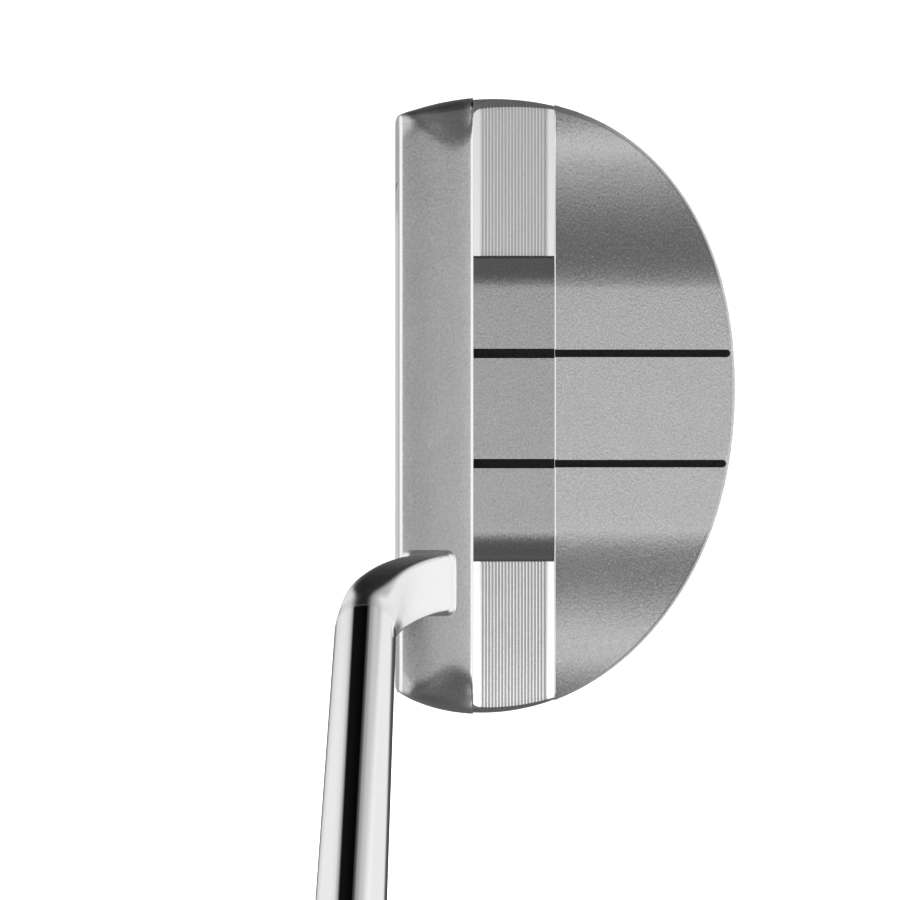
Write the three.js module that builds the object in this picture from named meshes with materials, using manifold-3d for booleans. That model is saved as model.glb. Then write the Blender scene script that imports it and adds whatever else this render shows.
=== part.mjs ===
// A right-handed mallet putter: a milled half-moon steel head with a curved neck that the shaft slips
// over, a face insert, screw-in sole weights, paint-filled alignment lines, a stepped steel shaft and a
// rubber grip.
//
// Millimetres. The head stands as it does when the ball is addressed: z = 0 is the ground, the face looks
// along -Y, the back of the head is +Y, the toe is -X and the heel, where the golfer stands, is +X.
// The origin is on the sole, midway between the two alignment lines.
import * as THREE from "three";
import { mergeVertices } from "three/addons/utils/BufferGeometryUtils.js";
import Module from "manifold-3d";

// ---- driving dimensions -------------------------------------------------------------------------------

const DEGREE = Math.PI / 180;
const FAR = 60; // past the head in any direction, for the ends of cutting blocks
const PAST_THE_FACE = 2; // for the ends of short cutting blocks
const JOIN_OVERLAP = 0.5; // of two solids that are joined
const POST_SIDES = 28; // of small round posts, bores and the shaft
const ROUND_SIDES = 36; // of larger round pieces
const CURVE_STEPS = 12; // along a drawn curve, unless a shape says otherwise
const MERGE_DISTANCE = 1e-4; // between corners that are the same corner

// Head, seen from above: the extreme points of its outline.
const TOE_SIDE = new THREE.Vector2(-50.35, -11.4);
const HEEL_SIDE = new THREE.Vector2(49.4, -13.3);
const REAR = new THREE.Vector2(-3.2, 27.65);
const TOE_FRONT = new THREE.Vector2(-46.6, -27.6);
const HEEL_FRONT = new THREE.Vector2(44.9, -27.6);
const HEEL_CORNER_HANDLES = [new THREE.Vector2(47.6, -24.6), new THREE.Vector2(49.4, -19.5)];
const TOE_CORNER_HANDLES = [new THREE.Vector2(-50.35, -18.5), new THREE.Vector2(-48.4, -24.2)];
const HEEL_SIDE_HANDLE = 20.9; // lengths of the handles of the long curves round the back
const HEEL_REAR_HANDLE = 32.4;
const TOE_SIDE_HANDLE = 23.8;
const TOE_REAR_HANDLE = 29;
const OUTLINE_STEPS = 14; // along each curve

// Head, seen from the side.
const LOFT = 3 * DEGREE; // how far the face leans back
const LEADING_EDGE_Y = -27.5;
const LEADING_EDGE_Z = 1.8;
const FACE_TOP_Z = 22.4;
const TOPLINE_FRONT_Y = -25.9;
const CREST_Y = -20.2;
const CREST_Z = 23.6;
const TOPLINE_REAR_Z = 23;
const CREST_HANDLE = 3; // the crown is level this far in front of the crest and behind it
const FACE_EDGE = 0.1; // height of the small round between face and topline
const LEADING_EDGE_RADIUS = 2;
const FACE_TOP_Y = LEADING_EDGE_Y + (FACE_TOP_Z - LEADING_EDGE_Z) * Math.tan(LOFT);
const CHANNEL_FRONT_Y = -14.7; // the channel is milled along the head behind the topline
const CHANNEL_REAR_Y = -1.5;
const SOLE_ROUND_HEIGHT = 6.5; // the sole rolls up to the outline over this height
const SOLE_ROUND_SHARE = 0.08; // of the outline's size, towards the sole's centre
const SOLE_ROUND_STEPS = 5;
const SOLE_CENTRE_Y = -4;
const RELIEF_START_Y = 4; // behind this the sole curves up off the ground
const RELIEF_END_Y = 32;
const RELIEF_RISE = 5.6;
const RELIEF_HANDLE = new THREE.Vector2(16, 0.5);

// Shoulders: where the topline turns down to the outline at the toe and the heel.
const SHOULDER_FRONT_Y = -26.5;
const SHOULDER_WIDTHS = [1.2, 1, 16, 6.6]; // cubic's controls, from there back: widest under the crest
const SHOULDER_DROP = 15.6;
const SHOULDER_POWER = 2.4; // superellipse power of the turn
const SHOULDER_STATIONS = [13, 10.5, 8, 6, 4.4, 3.1, 2.1, 1.3, 0.7, 0.3, 0.1, 0]; // inside the outline
const CROWN_STEPS = 5; // along each curve of the topline's profile
const CORNER_DROP = 2.2; // at the face corners the topline also rounds down to the face
const CORNER_LENGTH = 5;
const CORNER_DEPTH = 2.2;

// Channel floor: a raised bar in the middle and a grooved pad at each end.
const BAR_Z = 10.6;
const BAR_FLAT_X = 19.3;
const BAR_END_X = 24.8;
const BAR_END_HANDLES = [new THREE.Vector2(22.5, 10.6), new THREE.Vector2(24.6, 9.6)]; // it rolls down
const BAR_END_STEPS = 8;
const PAD_Z = 7.4;
const GROOVE_COUNT = 20;
const GROOVE_PITCH = 0.53;
const GROOVE_WIDTH = 0.34;
const GROOVE_DEPTH = 0.1;
const CUT_CLEARANCE = 0.02; // between the edges of two cuts that would otherwise coincide

// Flange: a flat plateau that falls in an S to a lower wing at the toe and at the heel, which rises again a
// little towards the outline.
const FLANGE_Z = 11;
const FLANGE_FLAT_X = 18.8;
const FLANGE_HANDLES_X = [24, 29]; // of the S
const WING_Z = 9.2;
const WING_X = 39.5;
const WING_END_X = 52;
const WING_END_Z = 11.08;

// Alignment lines.
const LINE_X = 8.9;
const FRONT_LINE_WIDTH = 1.63;
const REAR_LINE_WIDTH = 1.32;
const LINE_DEPTH = 0.5;
const PAINT_THICKNESS = 0.3;
const PAINT_GAP = 0.06;
const LINE_END_STEPS = 5; // round a line's rear end
const LINE_REAR_Y = { toe: 26.87, heel: 26.2 };

// Face insert: a stadium let into the face, on a soft bonding pad.
const INSERT_HALF_LENGTH = 36.5;
const INSERT_RADIUS = 7.3;
const INSERT_Z = 11.3;
const INSERT_THICKNESS = 3.4;
const INSERT_RECESS = 0.02; // of its front behind the face
const BOND_PAD_THICKNESS = 0.6;
const INSERT_GAP = 0.12;
const INSERT_END_STEPS = 10; // round each end

// Sole weights, one under each end of the head.
const WEIGHT_X = 35;
const WEIGHT_Y = -15.5;
const WEIGHT_POCKET_RADIUS = 6.6;
const WEIGHT_POCKET_DEPTH = 5.4;
const WEIGHT_RADIUS = 6.4;
const WEIGHT_RECESS = 0.25;
const WEIGHT_CHAMFER = 0.4;
const WASHER_THICKNESS = 0.6;
const WASHER_BORE_RADIUS = 3.4;
const WEIGHT_GAP = 0.1;
const DRIVE_SOCKET_RADIUS = 2.6; // across the corners of its hexagon
const DRIVE_SOCKET_DEPTH = 2.8;

// Shaft axis: it leans towards the golfer, and crosses the ground at its foot.
const LIE = 70 * DEGREE;
const LEAN = Math.PI / 2 - LIE;
const SHAFT_FOOT = new THREE.Vector3(17.5, -31.3, 0);

// Everything along the shaft is measured from that foot. The putter is 34 inches long.
const PUTTER_LENGTH = 863.6;
const SHAFT_START = 50;
const TIP_RADIUS = 4.7; // a 0.370 inch tip
const BUTT_RADIUS = 7.35;
const SHAFT_WALL = 0.45;
const PARALLEL_END = 330;
const STEP_COUNT = 9;
const STEP_LENGTH = 28;
const STEP_RAMP = 3;
const CAP_THICKNESS = 3.4;

// Neck.
const NECK_FOOT = new THREE.Vector3(27.7, -21.3, 22.7); // just under the topline, in a shallow seat
const NECK_FOOT_HANDLE = new THREE.Vector3(28.3, -26.8, 31);
const NECK_TOP_HANDLE_LENGTH = 10.6;
const NECK_HALF_WIDTH = 4.5; // along the face
const NECK_HALF_DEPTH = 3.65; // front to back
const NECK_SEAT_GAP = 0.06;
const NECK_CORNER_POWER = 7; // superellipse power: 2 is a circle, large is a rectangle
const NECK_SPIGOT = new THREE.Vector2(27.8, -21.8);
const NECK_SPIGOT_RADIUS = 2.9;
const NECK_SPIGOT_BOTTOM_Z = 19.4;
const NECK_SPIGOT_TOP_Z = 24;
const NECK_SPIGOT_HOLE_RADIUS = 3;
const SPIGOT_GAP = 0.2; // under the spigot
const NECK_RINGS = 14;
const NECK_SIDES = 32;
const NECK_ROUNDING = [0.45, 0.9]; // shares of the neck's length between which it turns round
const NECK_TILTING = [0.2, 0.95]; // and between which it tilts to the shaft's lean
const SHAFT_POST_RADIUS = 3.75;
const SHAFT_POST_LENGTH = 24;
const SHAFT_POST_ROOT = 3; // inside the neck
const SHAFT_BOND_INNER_RADIUS = 3.85;
const SHAFT_BOND_OUTER_RADIUS = 4.15;
const SHAFT_BOND_BOTTOM_GAP = 0.2; // above the neck
const SHAFT_BOND_TOP_GAP = 1; // below the post's end

// Grip.
const GRIP_START = 596;
const TAPE_START = 600;
const TAPE_END = 857;
const TAPE_INNER_RADIUS = 7.5;
const TAPE_OUTER_RADIUS = 7.9;
const GRIP_BORE_RADIUS = 8.05;
const VENT_RADIUS = 1.3;
const VENT_SIDES = 14;
const GRIP_SIDES = 32;
const GRIP_FLAT_POWER = 5; // superellipse power of the flat front
const GRIP_SHAFT_GAP = 0.3; // past the shaft's end

// ---- solids --------------------------------------------------------------------------------------------

const wasm = await Module();
wasm.setup();

// A closed three.js geometry as a solid that can be joined and cut.
function solidOf(geometry) {
  const bare = geometry.clone();
  bare.deleteAttribute("normal");
  bare.deleteAttribute("uv");
  const merged = mergeVertices(bare, MERGE_DISTANCE);
  return new wasm.Manifold(
    new wasm.Mesh({
      numProp: 3,
      vertProperties: new Float32Array(merged.attributes.position.array),
      triVerts: new Uint32Array(merged.index.array),
    }),
  );
}

function geometryOf(solid) {
  const mesh = solid.getMesh();
  const geometry = new THREE.BufferGeometry();
  geometry.setAttribute("position", new THREE.BufferAttribute(mesh.vertProperties, 3));
  geometry.setIndex(new THREE.BufferAttribute(mesh.triVerts, 1));
  geometry.computeVertexNormals();
  return geometry;
}

// A shape drawn in (x, y), extruded up from z = low to z = high.
function prismUp(shape, low, high, curveSegments = CURVE_STEPS) {
  const options = { depth: high - low, bevelEnabled: false, curveSegments };
  return new THREE.ExtrudeGeometry(shape, options).translate(0, 0, low);
}

// A shape drawn in (y, z), extruded along x.
function prismAlongX(shape, low, high, curveSegments = CURVE_STEPS) {
  const turn = new THREE.Matrix4().set(0, 0, 1, 0, 1, 0, 0, 0, 0, 1, 0, 0, 0, 0, 0, 1);
  return prismUp(shape, low, high, curveSegments).applyMatrix4(turn);
}

// A shape drawn in (x, z), extruded along y.
function prismAlongY(shape, low, high, curveSegments = CURVE_STEPS) {
  return prismUp(shape, -high, -low, curveSegments).rotateX(Math.PI / 2);
}

// A cylinder standing on z = low, with its axis along z.
function post(radius, low, high, sides = ROUND_SIDES) {
  const geometry = new THREE.CylinderGeometry(radius, radius, high - low, sides);
  return geometry.rotateX(Math.PI / 2).translate(0, 0, (low + high) / 2);
}

// A profile of [radius, z] points turned about the z axis.
function turned(profile, sides = ROUND_SIDES) {
  const points = profile.map(([radius, z]) => new THREE.Vector2(radius, z));
  return new THREE.LatheGeometry(points, sides).rotateX(Math.PI / 2);
}

// A skin over rings of points, all with the same count, with flat ends.
function loft(rings) {
  const count = rings[0].length;
  const corners = rings.flat().flatMap((point) => point.toArray());
  const index = [];
  for (let ring = 0; ring + 1 < rings.length; ring++) {
    for (let i = 0; i < count; i++) {
      const a = ring * count + i;
      const b = ring * count + ((i + 1) % count);
      index.push(a, b, b + count, a, b + count, a + count);
    }
  }
  const last = (rings.length - 1) * count;
  for (let i = 1; i + 1 < count; i++) {
    index.push(0, i + 1, i);
    index.push(last, last + i, last + i + 1);
  }
  const geometry = new THREE.BufferGeometry();
  geometry.setAttribute("position", new THREE.Float32BufferAttribute(corners, 3));
  geometry.setIndex(index);
  return geometry;
}

// ---- shaft axis and neck arm ---------------------------------------------------------------------------

const SHAFT_DIRECTION = new THREE.Vector3(Math.sin(LEAN), 0, Math.cos(LEAN));
const NECK_TOP = SHAFT_FOOT.clone().addScaledVector(SHAFT_DIRECTION, SHAFT_START);
const ALONG_SHAFT = new THREE.Matrix4()
  .makeTranslation(SHAFT_FOOT.x, SHAFT_FOOT.y, SHAFT_FOOT.z)
  .multiply(new THREE.Matrix4().makeRotationY(LEAN));

// One ring of the neck: a rounded rectangle at the foot that turns into the shaft's circle at the top.
function neckRing(share, margin) {
  const handle = NECK_TOP.clone().addScaledVector(SHAFT_DIRECTION, -NECK_TOP_HANDLE_LENGTH);
  const centre = new THREE.CubicBezierCurve3(NECK_FOOT, NECK_FOOT_HANDLE, handle, NECK_TOP).getPoint(share);
  const round = THREE.MathUtils.smoothstep(share, ...NECK_ROUNDING);
  const tilt = LEAN * THREE.MathUtils.smoothstep(share, ...NECK_TILTING);
  const across = new THREE.Vector3(Math.cos(tilt), 0, -Math.sin(tilt));
  const power = THREE.MathUtils.lerp(NECK_CORNER_POWER, 2, round);
  const halfWidth = THREE.MathUtils.lerp(NECK_HALF_WIDTH, TIP_RADIUS, round) + margin;
  const halfDepth = THREE.MathUtils.lerp(NECK_HALF_DEPTH, TIP_RADIUS, round) + margin;
  const ring = [];
  for (let i = 0; i < NECK_SIDES; i++) {
    const angle = (2 * Math.PI * (i + 0.5)) / NECK_SIDES;
    const size = (Math.abs(Math.cos(angle)) ** power + Math.abs(Math.sin(angle)) ** power) ** (-1 / power);
    const point = centre.clone().addScaledVector(across, halfWidth * size * Math.cos(angle));
    ring.push(point.setY(point.y + halfDepth * size * Math.sin(angle)));
  }
  return ring;
}

function neckArm(margin = 0) {
  const rings = [];
  for (let step = 0; step <= NECK_RINGS; step++) rings.push(neckRing(step / NECK_RINGS, margin));
  return loft(rings);
}

// ---- head ----------------------------------------------------------------------------------------------

// The outline from above: five cubic curves, square to the axes at the extreme points.
function headOutline() {
  const outline = new THREE.Shape();
  outline.moveTo(TOE_FRONT.x, TOE_FRONT.y);
  outline.lineTo(HEEL_FRONT.x, HEEL_FRONT.y);
  const curveTo = (first, second, end) =>
    outline.bezierCurveTo(first.x, first.y, second.x, second.y, end.x, end.y);
  const beside = (point, x, y) => new THREE.Vector2(point.x + x, point.y + y);
  curveTo(...HEEL_CORNER_HANDLES, HEEL_SIDE);
  curveTo(beside(HEEL_SIDE, 0, HEEL_SIDE_HANDLE), beside(REAR, HEEL_REAR_HANDLE, 0), REAR);
  curveTo(beside(REAR, -TOE_REAR_HANDLE, 0), beside(TOE_SIDE, 0, TOE_SIDE_HANDLE), TOE_SIDE);
  curveTo(...TOE_CORNER_HANDLES, TOE_FRONT);
  return outline;
}

// The outline as a tall block with upright sides: its lower edge rolls in, as a quarter ellipse, to the flat
// of the sole.
function outlineBlock() {
  const points = headOutline().getPoints(OUTLINE_STEPS).slice(0, -1);
  const ring = (scale, z) => {
    const y = (point) => SOLE_CENTRE_Y + (point.y - SOLE_CENTRE_Y) * scale;
    return points.map((point) => new THREE.Vector3(point.x * scale, y(point), z));
  };
  const rings = [];
  for (let step = 0; step <= SOLE_ROUND_STEPS; step++) {
    const angle = (step / SOLE_ROUND_STEPS) * (Math.PI / 2);
    const scale = 1 - SOLE_ROUND_SHARE * (1 - Math.sin(angle));
    rings.push(ring(scale, SOLE_ROUND_HEIGHT * (1 - Math.cos(angle))));
  }
  rings.push(ring(1, FAR));
  return solidOf(loft(rings));
}

// The outline's distance from the middle at y, on the toe side (-1) or the heel side (1).
function outlineReach(side, y) {
  const points = headOutline().getPoints(OUTLINE_STEPS);
  for (let i = 1; i + 1 < points.length; i++) {
    const [a, b] = [points[i], points[i + 1]];
    const spans = (a.y - y) * (b.y - y) <= 0 && a.y !== b.y;
    if (spans && a.x * side > 0) return side * THREE.MathUtils.mapLinear(y, a.y, b.y, a.x, b.x);
  }
  return side > 0 ? HEEL_FRONT.x : -TOE_FRONT.x;
}

// Lofted face, rounded topline and the wall behind it, as a profile in (y, z).
function toplineProfile() {
  const profile = new THREE.Shape();
  profile.moveTo(CHANNEL_FRONT_Y, 0);
  profile.lineTo(CHANNEL_FRONT_Y, TOPLINE_REAR_Z);
  profile.quadraticCurveTo(CREST_Y + CREST_HANDLE, CREST_Z, CREST_Y, CREST_Z);
  profile.quadraticCurveTo(CREST_Y - CREST_HANDLE, CREST_Z, TOPLINE_FRONT_Y, TOPLINE_REAR_Z);
  profile.quadraticCurveTo(FACE_TOP_Y, TOPLINE_REAR_Z - FACE_EDGE, FACE_TOP_Y, FACE_TOP_Z);
  profile.lineTo(LEADING_EDGE_Y, LEADING_EDGE_Z);
  profile.quadraticCurveTo(LEADING_EDGE_Y, 0, LEADING_EDGE_Y + LEADING_EDGE_RADIUS, 0);
  return profile;
}

// How far inside the outline a shoulder begins.
function shoulderWidth(y) {
  const t = THREE.MathUtils.mapLinear(y, SHOULDER_FRONT_Y, CHANNEL_FRONT_Y, 0, 1);
  const [a, b, c, d] = SHOULDER_WIDTHS.map((width) => new THREE.Vector2(width, 0));
  return new THREE.CubicBezierCurve(a, b, c, d).getPoint(THREE.MathUtils.clamp(t, 0, 1)).x;
}

// How far a shoulder has turned down at a distance inside the outline: level at its start and upright at
// the outline.
function shoulderDrop(inside, y) {
  const share = THREE.MathUtils.clamp(1 - inside / shoulderWidth(y), 0, 1);
  const drop = SHOULDER_DROP * (1 - (1 - share ** SHOULDER_POWER) ** (1 / SHOULDER_POWER));
  const corner = CORNER_DROP * (1 - THREE.MathUtils.smoothstep(inside, 0, CORNER_LENGTH));
  return Math.min(drop + corner * Math.exp(-(y - FACE_TOP_Y) / CORNER_DEPTH), SHOULDER_DROP);
}

// The topline's profile at one distance inside the outline. What is lowered keeps to the lofted face.
function toplineRing(side, inside) {
  return toplineProfile().getPoints(CROWN_STEPS).slice(0, -1).map((point) => {
    const onTop = point.y > LEADING_EDGE_Z;
    const drop = onTop ? shoulderDrop(inside, point.x) : 0;
    const behind = (point.x - FACE_TOP_Y) / (CHANNEL_FRONT_Y - FACE_TOP_Y);
    const y = point.x - drop * Math.tan(LOFT) * (1 - behind);
    return new THREE.Vector3(side * (outlineReach(side, y) - inside), y, point.y - drop);
  });
}

// Face, topline and shoulders as one solid, a little longer than the head.
function toplineBlock() {
  const stations = [...SHOULDER_STATIONS, -PAST_THE_FACE];
  const toe = [...stations].reverse().map((inside) => toplineRing(-1, inside));
  const heel = stations.map((inside) => toplineRing(1, inside));
  return solidOf(loft([...toe, ...heel]));
}

// The flange from the front, in (x, z): plateau, an S on each side, and the wings.
function flangeProfile() {
  const profile = new THREE.Shape();
  const [upper, lower] = FLANGE_HANDLES_X;
  const wingMiddleX = (WING_X + WING_END_X) / 2;
  profile.moveTo(-WING_END_X, 0);
  profile.lineTo(WING_END_X, 0);
  profile.lineTo(WING_END_X, WING_END_Z);
  profile.quadraticCurveTo(wingMiddleX, WING_Z, WING_X, WING_Z);
  profile.bezierCurveTo(lower, WING_Z, upper, FLANGE_Z, FLANGE_FLAT_X, FLANGE_Z);
  profile.lineTo(-FLANGE_FLAT_X, FLANGE_Z);
  profile.bezierCurveTo(-upper, FLANGE_Z, -lower, WING_Z, -WING_X, WING_Z);
  profile.quadraticCurveTo(-wingMiddleX, WING_Z, -WING_END_X, WING_END_Z);
  return profile;
}

// The channel floor from the front, in (x, z): pads, and the bar with its rolled-down ends.
function channelProfile() {
  const profile = new THREE.Shape();
  const [upper, lower] = BAR_END_HANDLES;
  profile.moveTo(-FAR, 0);
  profile.lineTo(FAR, 0);
  profile.lineTo(FAR, PAD_Z);
  profile.lineTo(BAR_END_X, PAD_Z);
  profile.bezierCurveTo(lower.x, lower.y, upper.x, upper.y, BAR_FLAT_X, BAR_Z);
  profile.lineTo(-BAR_FLAT_X, BAR_Z);
  profile.bezierCurveTo(-upper.x, upper.y, -lower.x, lower.y, -BAR_END_X, PAD_Z);
  profile.lineTo(-FAR, PAD_Z);
  return profile;
}

// The grooves of one pad as a comb in (y, z): teeth that point down from above the pad.
function padGrooves(side) {
  const comb = new THREE.Shape();
  const middleY = (CHANNEL_FRONT_Y + CHANNEL_REAR_Y) / 2;
  const firstY = middleY - ((GROOVE_COUNT - 1) * GROOVE_PITCH) / 2;
  comb.moveTo(firstY - GROOVE_WIDTH / 2, PAD_Z + PAST_THE_FACE);
  for (let groove = 0; groove < GROOVE_COUNT; groove++) {
    const y = firstY + groove * GROOVE_PITCH;
    comb.lineTo(y - GROOVE_WIDTH / 2, PAD_Z + CUT_CLEARANCE);
    comb.lineTo(y, PAD_Z - GROOVE_DEPTH);
    comb.lineTo(y + GROOVE_WIDTH / 2, PAD_Z + CUT_CLEARANCE);
  }
  comb.lineTo(firstY + (GROOVE_COUNT - 1) * GROOVE_PITCH + GROOVE_WIDTH / 2, PAD_Z + PAST_THE_FACE);
  const ends = [side * (BAR_END_X + CUT_CLEARANCE), side * FAR].sort((a, b) => a - b);
  return solidOf(prismAlongX(comb, ends[0], ends[1]));
}

// A strip along y with a half-round rear end, for a line's groove or for the paint in it.
function lineStrip(x, width, frontY, rearY, low, high, roundRear) {
  const half = width / 2;
  const strip = new THREE.Shape();
  strip.moveTo(x - half, frontY);
  strip.lineTo(x + half, frontY);
  if (roundRear) {
    strip.lineTo(x + half, rearY - half);
    strip.absarc(x, rearY - half, half, 0, Math.PI, false);
  } else {
    strip.lineTo(x + half, rearY);
    strip.lineTo(x - half, rearY);
  }
  return prismUp(strip, low, high, LINE_END_STEPS);
}

// The two grooves of one line: the front one starts at the topline's wall and runs into the rear one.
function lineGrooves(side) {
  const x = side * LINE_X;
  const rearY = side < 0 ? LINE_REAR_Y.toe : LINE_REAR_Y.heel;
  const frontY = CHANNEL_FRONT_Y + CUT_CLEARANCE;
  const front = lineStrip(x, FRONT_LINE_WIDTH, frontY, CHANNEL_REAR_Y, BAR_Z - LINE_DEPTH, FAR, false);
  const rear = lineStrip(x, REAR_LINE_WIDTH, CHANNEL_REAR_Y, rearY, FLANGE_Z - LINE_DEPTH, FAR, true);
  return solidOf(front).add(solidOf(rear));
}

// A stadium standing in the face plane, from `front` to `rear` behind it.
function facePlate(shrink, front, rear) {
  const straight = INSERT_HALF_LENGTH - INSERT_RADIUS;
  const radius = INSERT_RADIUS - shrink;
  const stadium = new THREE.Shape();
  stadium.absarc(straight, 0, radius, -Math.PI / 2, Math.PI / 2, false);
  stadium.absarc(-straight, 0, radius, Math.PI / 2, (3 * Math.PI) / 2, false);
  const plate = prismAlongY(stadium, front, rear, INSERT_END_STEPS);
  const planeY = LEADING_EDGE_Y + (INSERT_Z - LEADING_EDGE_Z) * Math.tan(LOFT);
  return plate.rotateX(-LOFT).translate(0, planeY, INSERT_Z);
}

// The rear of the sole lifts off the ground in a long curve, drawn in (y, z).
function soleRelief() {
  const air = new THREE.Shape();
  air.moveTo(RELIEF_START_Y, -PAST_THE_FACE);
  air.lineTo(RELIEF_START_Y, 0);
  air.quadraticCurveTo(RELIEF_HANDLE.x, RELIEF_HANDLE.y, RELIEF_END_Y, RELIEF_RISE);
  air.lineTo(RELIEF_END_Y, -PAST_THE_FACE);
  return solidOf(prismAlongX(air, -FAR, FAR));
}

function weightPocket(side) {
  const pocket = post(WEIGHT_POCKET_RADIUS, -PAST_THE_FACE, WEIGHT_POCKET_DEPTH);
  return solidOf(pocket.translate(side * WEIGHT_X, WEIGHT_Y, 0));
}

function headBody() {
  const block = outlineBlock();
  const topline = block.intersect(toplineBlock());
  const flange = block.intersect(solidOf(prismAlongY(flangeProfile(), CHANNEL_REAR_Y, FAR)));
  const channelEnd = CHANNEL_REAR_Y + JOIN_OVERLAP;
  const floor = prismAlongY(channelProfile(), CHANNEL_FRONT_Y - JOIN_OVERLAP, channelEnd, BAR_END_STEPS);
  const insertPocket = facePlate(0, -PAST_THE_FACE, INSERT_THICKNESS + BOND_PAD_THICKNESS + 3 * INSERT_GAP);
  const neckSeat = neckArm(NECK_SEAT_GAP).translate(0, 0, -NECK_SEAT_GAP);
  const spigotHole = post(NECK_SPIGOT_HOLE_RADIUS, NECK_SPIGOT_BOTTOM_Z - SPIGOT_GAP, FAR, POST_SIDES);
  let head = topline.add(block.intersect(solidOf(floor))).add(flange);
  head = head.subtract(soleRelief()).subtract(solidOf(insertPocket));
  head = head.subtract(solidOf(neckSeat));
  head = head.subtract(solidOf(spigotHole.translate(NECK_SPIGOT.x, NECK_SPIGOT.y, 0)));
  for (const side of [-1, 1]) {
    head = head.subtract(padGrooves(side)).subtract(lineGrooves(side)).subtract(weightPocket(side));
  }
  return geometryOf(head);
}

// ---- small pieces of the head --------------------------------------------------------------------------

function paintFill(side, part) {
  const x = side * LINE_X;
  const endY = side < 0 ? LINE_REAR_Y.toe : LINE_REAR_Y.heel;
  const front = part === "front";
  const width = (front ? FRONT_LINE_WIDTH : REAR_LINE_WIDTH) - 2 * PAINT_GAP;
  const floor = (front ? BAR_Z : FLANGE_Z) - LINE_DEPTH + PAINT_GAP;
  const frontY = front ? CHANNEL_FRONT_Y + 2 * PAINT_GAP : CHANNEL_REAR_Y + PAINT_GAP;
  const rearY = front ? CHANNEL_REAR_Y - PAINT_GAP : endY - PAINT_GAP;
  return lineStrip(x, width, frontY, rearY, floor, floor + PAINT_THICKNESS, !front);
}

function faceInsert() {
  return facePlate(INSERT_GAP, INSERT_RECESS, INSERT_THICKNESS);
}

function insertBondPad() {
  const front = INSERT_THICKNESS + INSERT_GAP;
  return facePlate(INSERT_GAP, front, front + BOND_PAD_THICKNESS);
}

// The washer lies on the pocket's floor, above the weight.
function weightWasher() {
  const top = WEIGHT_POCKET_DEPTH - WEIGHT_GAP;
  const bottom = top - WASHER_THICKNESS;
  return turned([
    [WASHER_BORE_RADIUS, bottom],
    [WEIGHT_RADIUS, bottom],
    [WEIGHT_RADIUS, top],
    [WASHER_BORE_RADIUS, top],
    [WASHER_BORE_RADIUS, bottom],
  ]);
}

function soleWeight() {
  const top = WEIGHT_POCKET_DEPTH - WASHER_THICKNESS - 2 * WEIGHT_GAP;
  const body = turned([
    [0, WEIGHT_RECESS],
    [WEIGHT_RADIUS - WEIGHT_CHAMFER, WEIGHT_RECESS],
    [WEIGHT_RADIUS, WEIGHT_RECESS + WEIGHT_CHAMFER],
    [WEIGHT_RADIUS, top - WEIGHT_CHAMFER],
    [WEIGHT_RADIUS - WEIGHT_CHAMFER, top],
    [0, top],
  ]);
  const socket = post(DRIVE_SOCKET_RADIUS, -PAST_THE_FACE, WEIGHT_RECESS + DRIVE_SOCKET_DEPTH, 6);
  return geometryOf(solidOf(body).subtract(solidOf(socket)));
}

// ---- neck ----------------------------------------------------------------------------------------------

function neck() {
  const postStart = SHAFT_START - SHAFT_POST_ROOT;
  const spigot = post(NECK_SPIGOT_RADIUS, NECK_SPIGOT_BOTTOM_Z, NECK_SPIGOT_TOP_Z, POST_SIDES);
  const shaftPost = post(SHAFT_POST_RADIUS, postStart, SHAFT_START + SHAFT_POST_LENGTH, POST_SIDES);
  return geometryOf(
    solidOf(neckArm())
      .add(solidOf(spigot.translate(NECK_SPIGOT.x, NECK_SPIGOT.y, 0)))
      .add(solidOf(shaftPost.applyMatrix4(ALONG_SHAFT))),
  );
}

// ---- shaft and grip, standing on z, to be tipped onto the shaft's axis -------------------------------

// A tube in steps: each step is a short ramp up to the next diameter.
function shaftTube() {
  const end = PUTTER_LENGTH - CAP_THICKNESS;
  const outer = [[TIP_RADIUS, SHAFT_START]];
  const growth = (BUTT_RADIUS - TIP_RADIUS) / STEP_COUNT;
  for (let step = 0; step < STEP_COUNT; step++) {
    const z = PARALLEL_END + step * STEP_LENGTH;
    outer.push([TIP_RADIUS + step * growth, z]);
    outer.push([TIP_RADIUS + (step + 1) * growth, z + STEP_RAMP]);
  }
  outer.push([BUTT_RADIUS, end]);
  const inner = outer.map(([radius, z]) => [radius - SHAFT_WALL, z]).reverse();
  return turned([...outer, ...inner, outer[0]], POST_SIDES);
}

function sleeve(innerRadius, outerRadius, low, high) {
  const section = [
    [innerRadius, low],
    [outerRadius, low],
    [outerRadius, high],
    [innerRadius, high],
    [innerRadius, low],
  ];
  return turned(section, POST_SIDES);
}

// One ring of the grip: a round back and a flat front for the thumbs, which looks along -x.
function gripRing(z, front, back, halfWidth, flatness) {
  const ring = [];
  for (let i = 0; i < GRIP_SIDES; i++) {
    const angle = (2 * Math.PI * (i + 0.5)) / GRIP_SIDES;
    const c = Math.cos(angle);
    const s = Math.sin(angle);
    const power = c < 0 ? THREE.MathUtils.lerp(2, GRIP_FLAT_POWER, flatness) : 2;
    const size = (Math.abs(c) ** power + Math.abs(s) ** power) ** (-1 / power);
    ring.push(new THREE.Vector3((c < 0 ? front : back) * size * c, halfWidth * size * s, z));
  }
  return ring;
}

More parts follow.
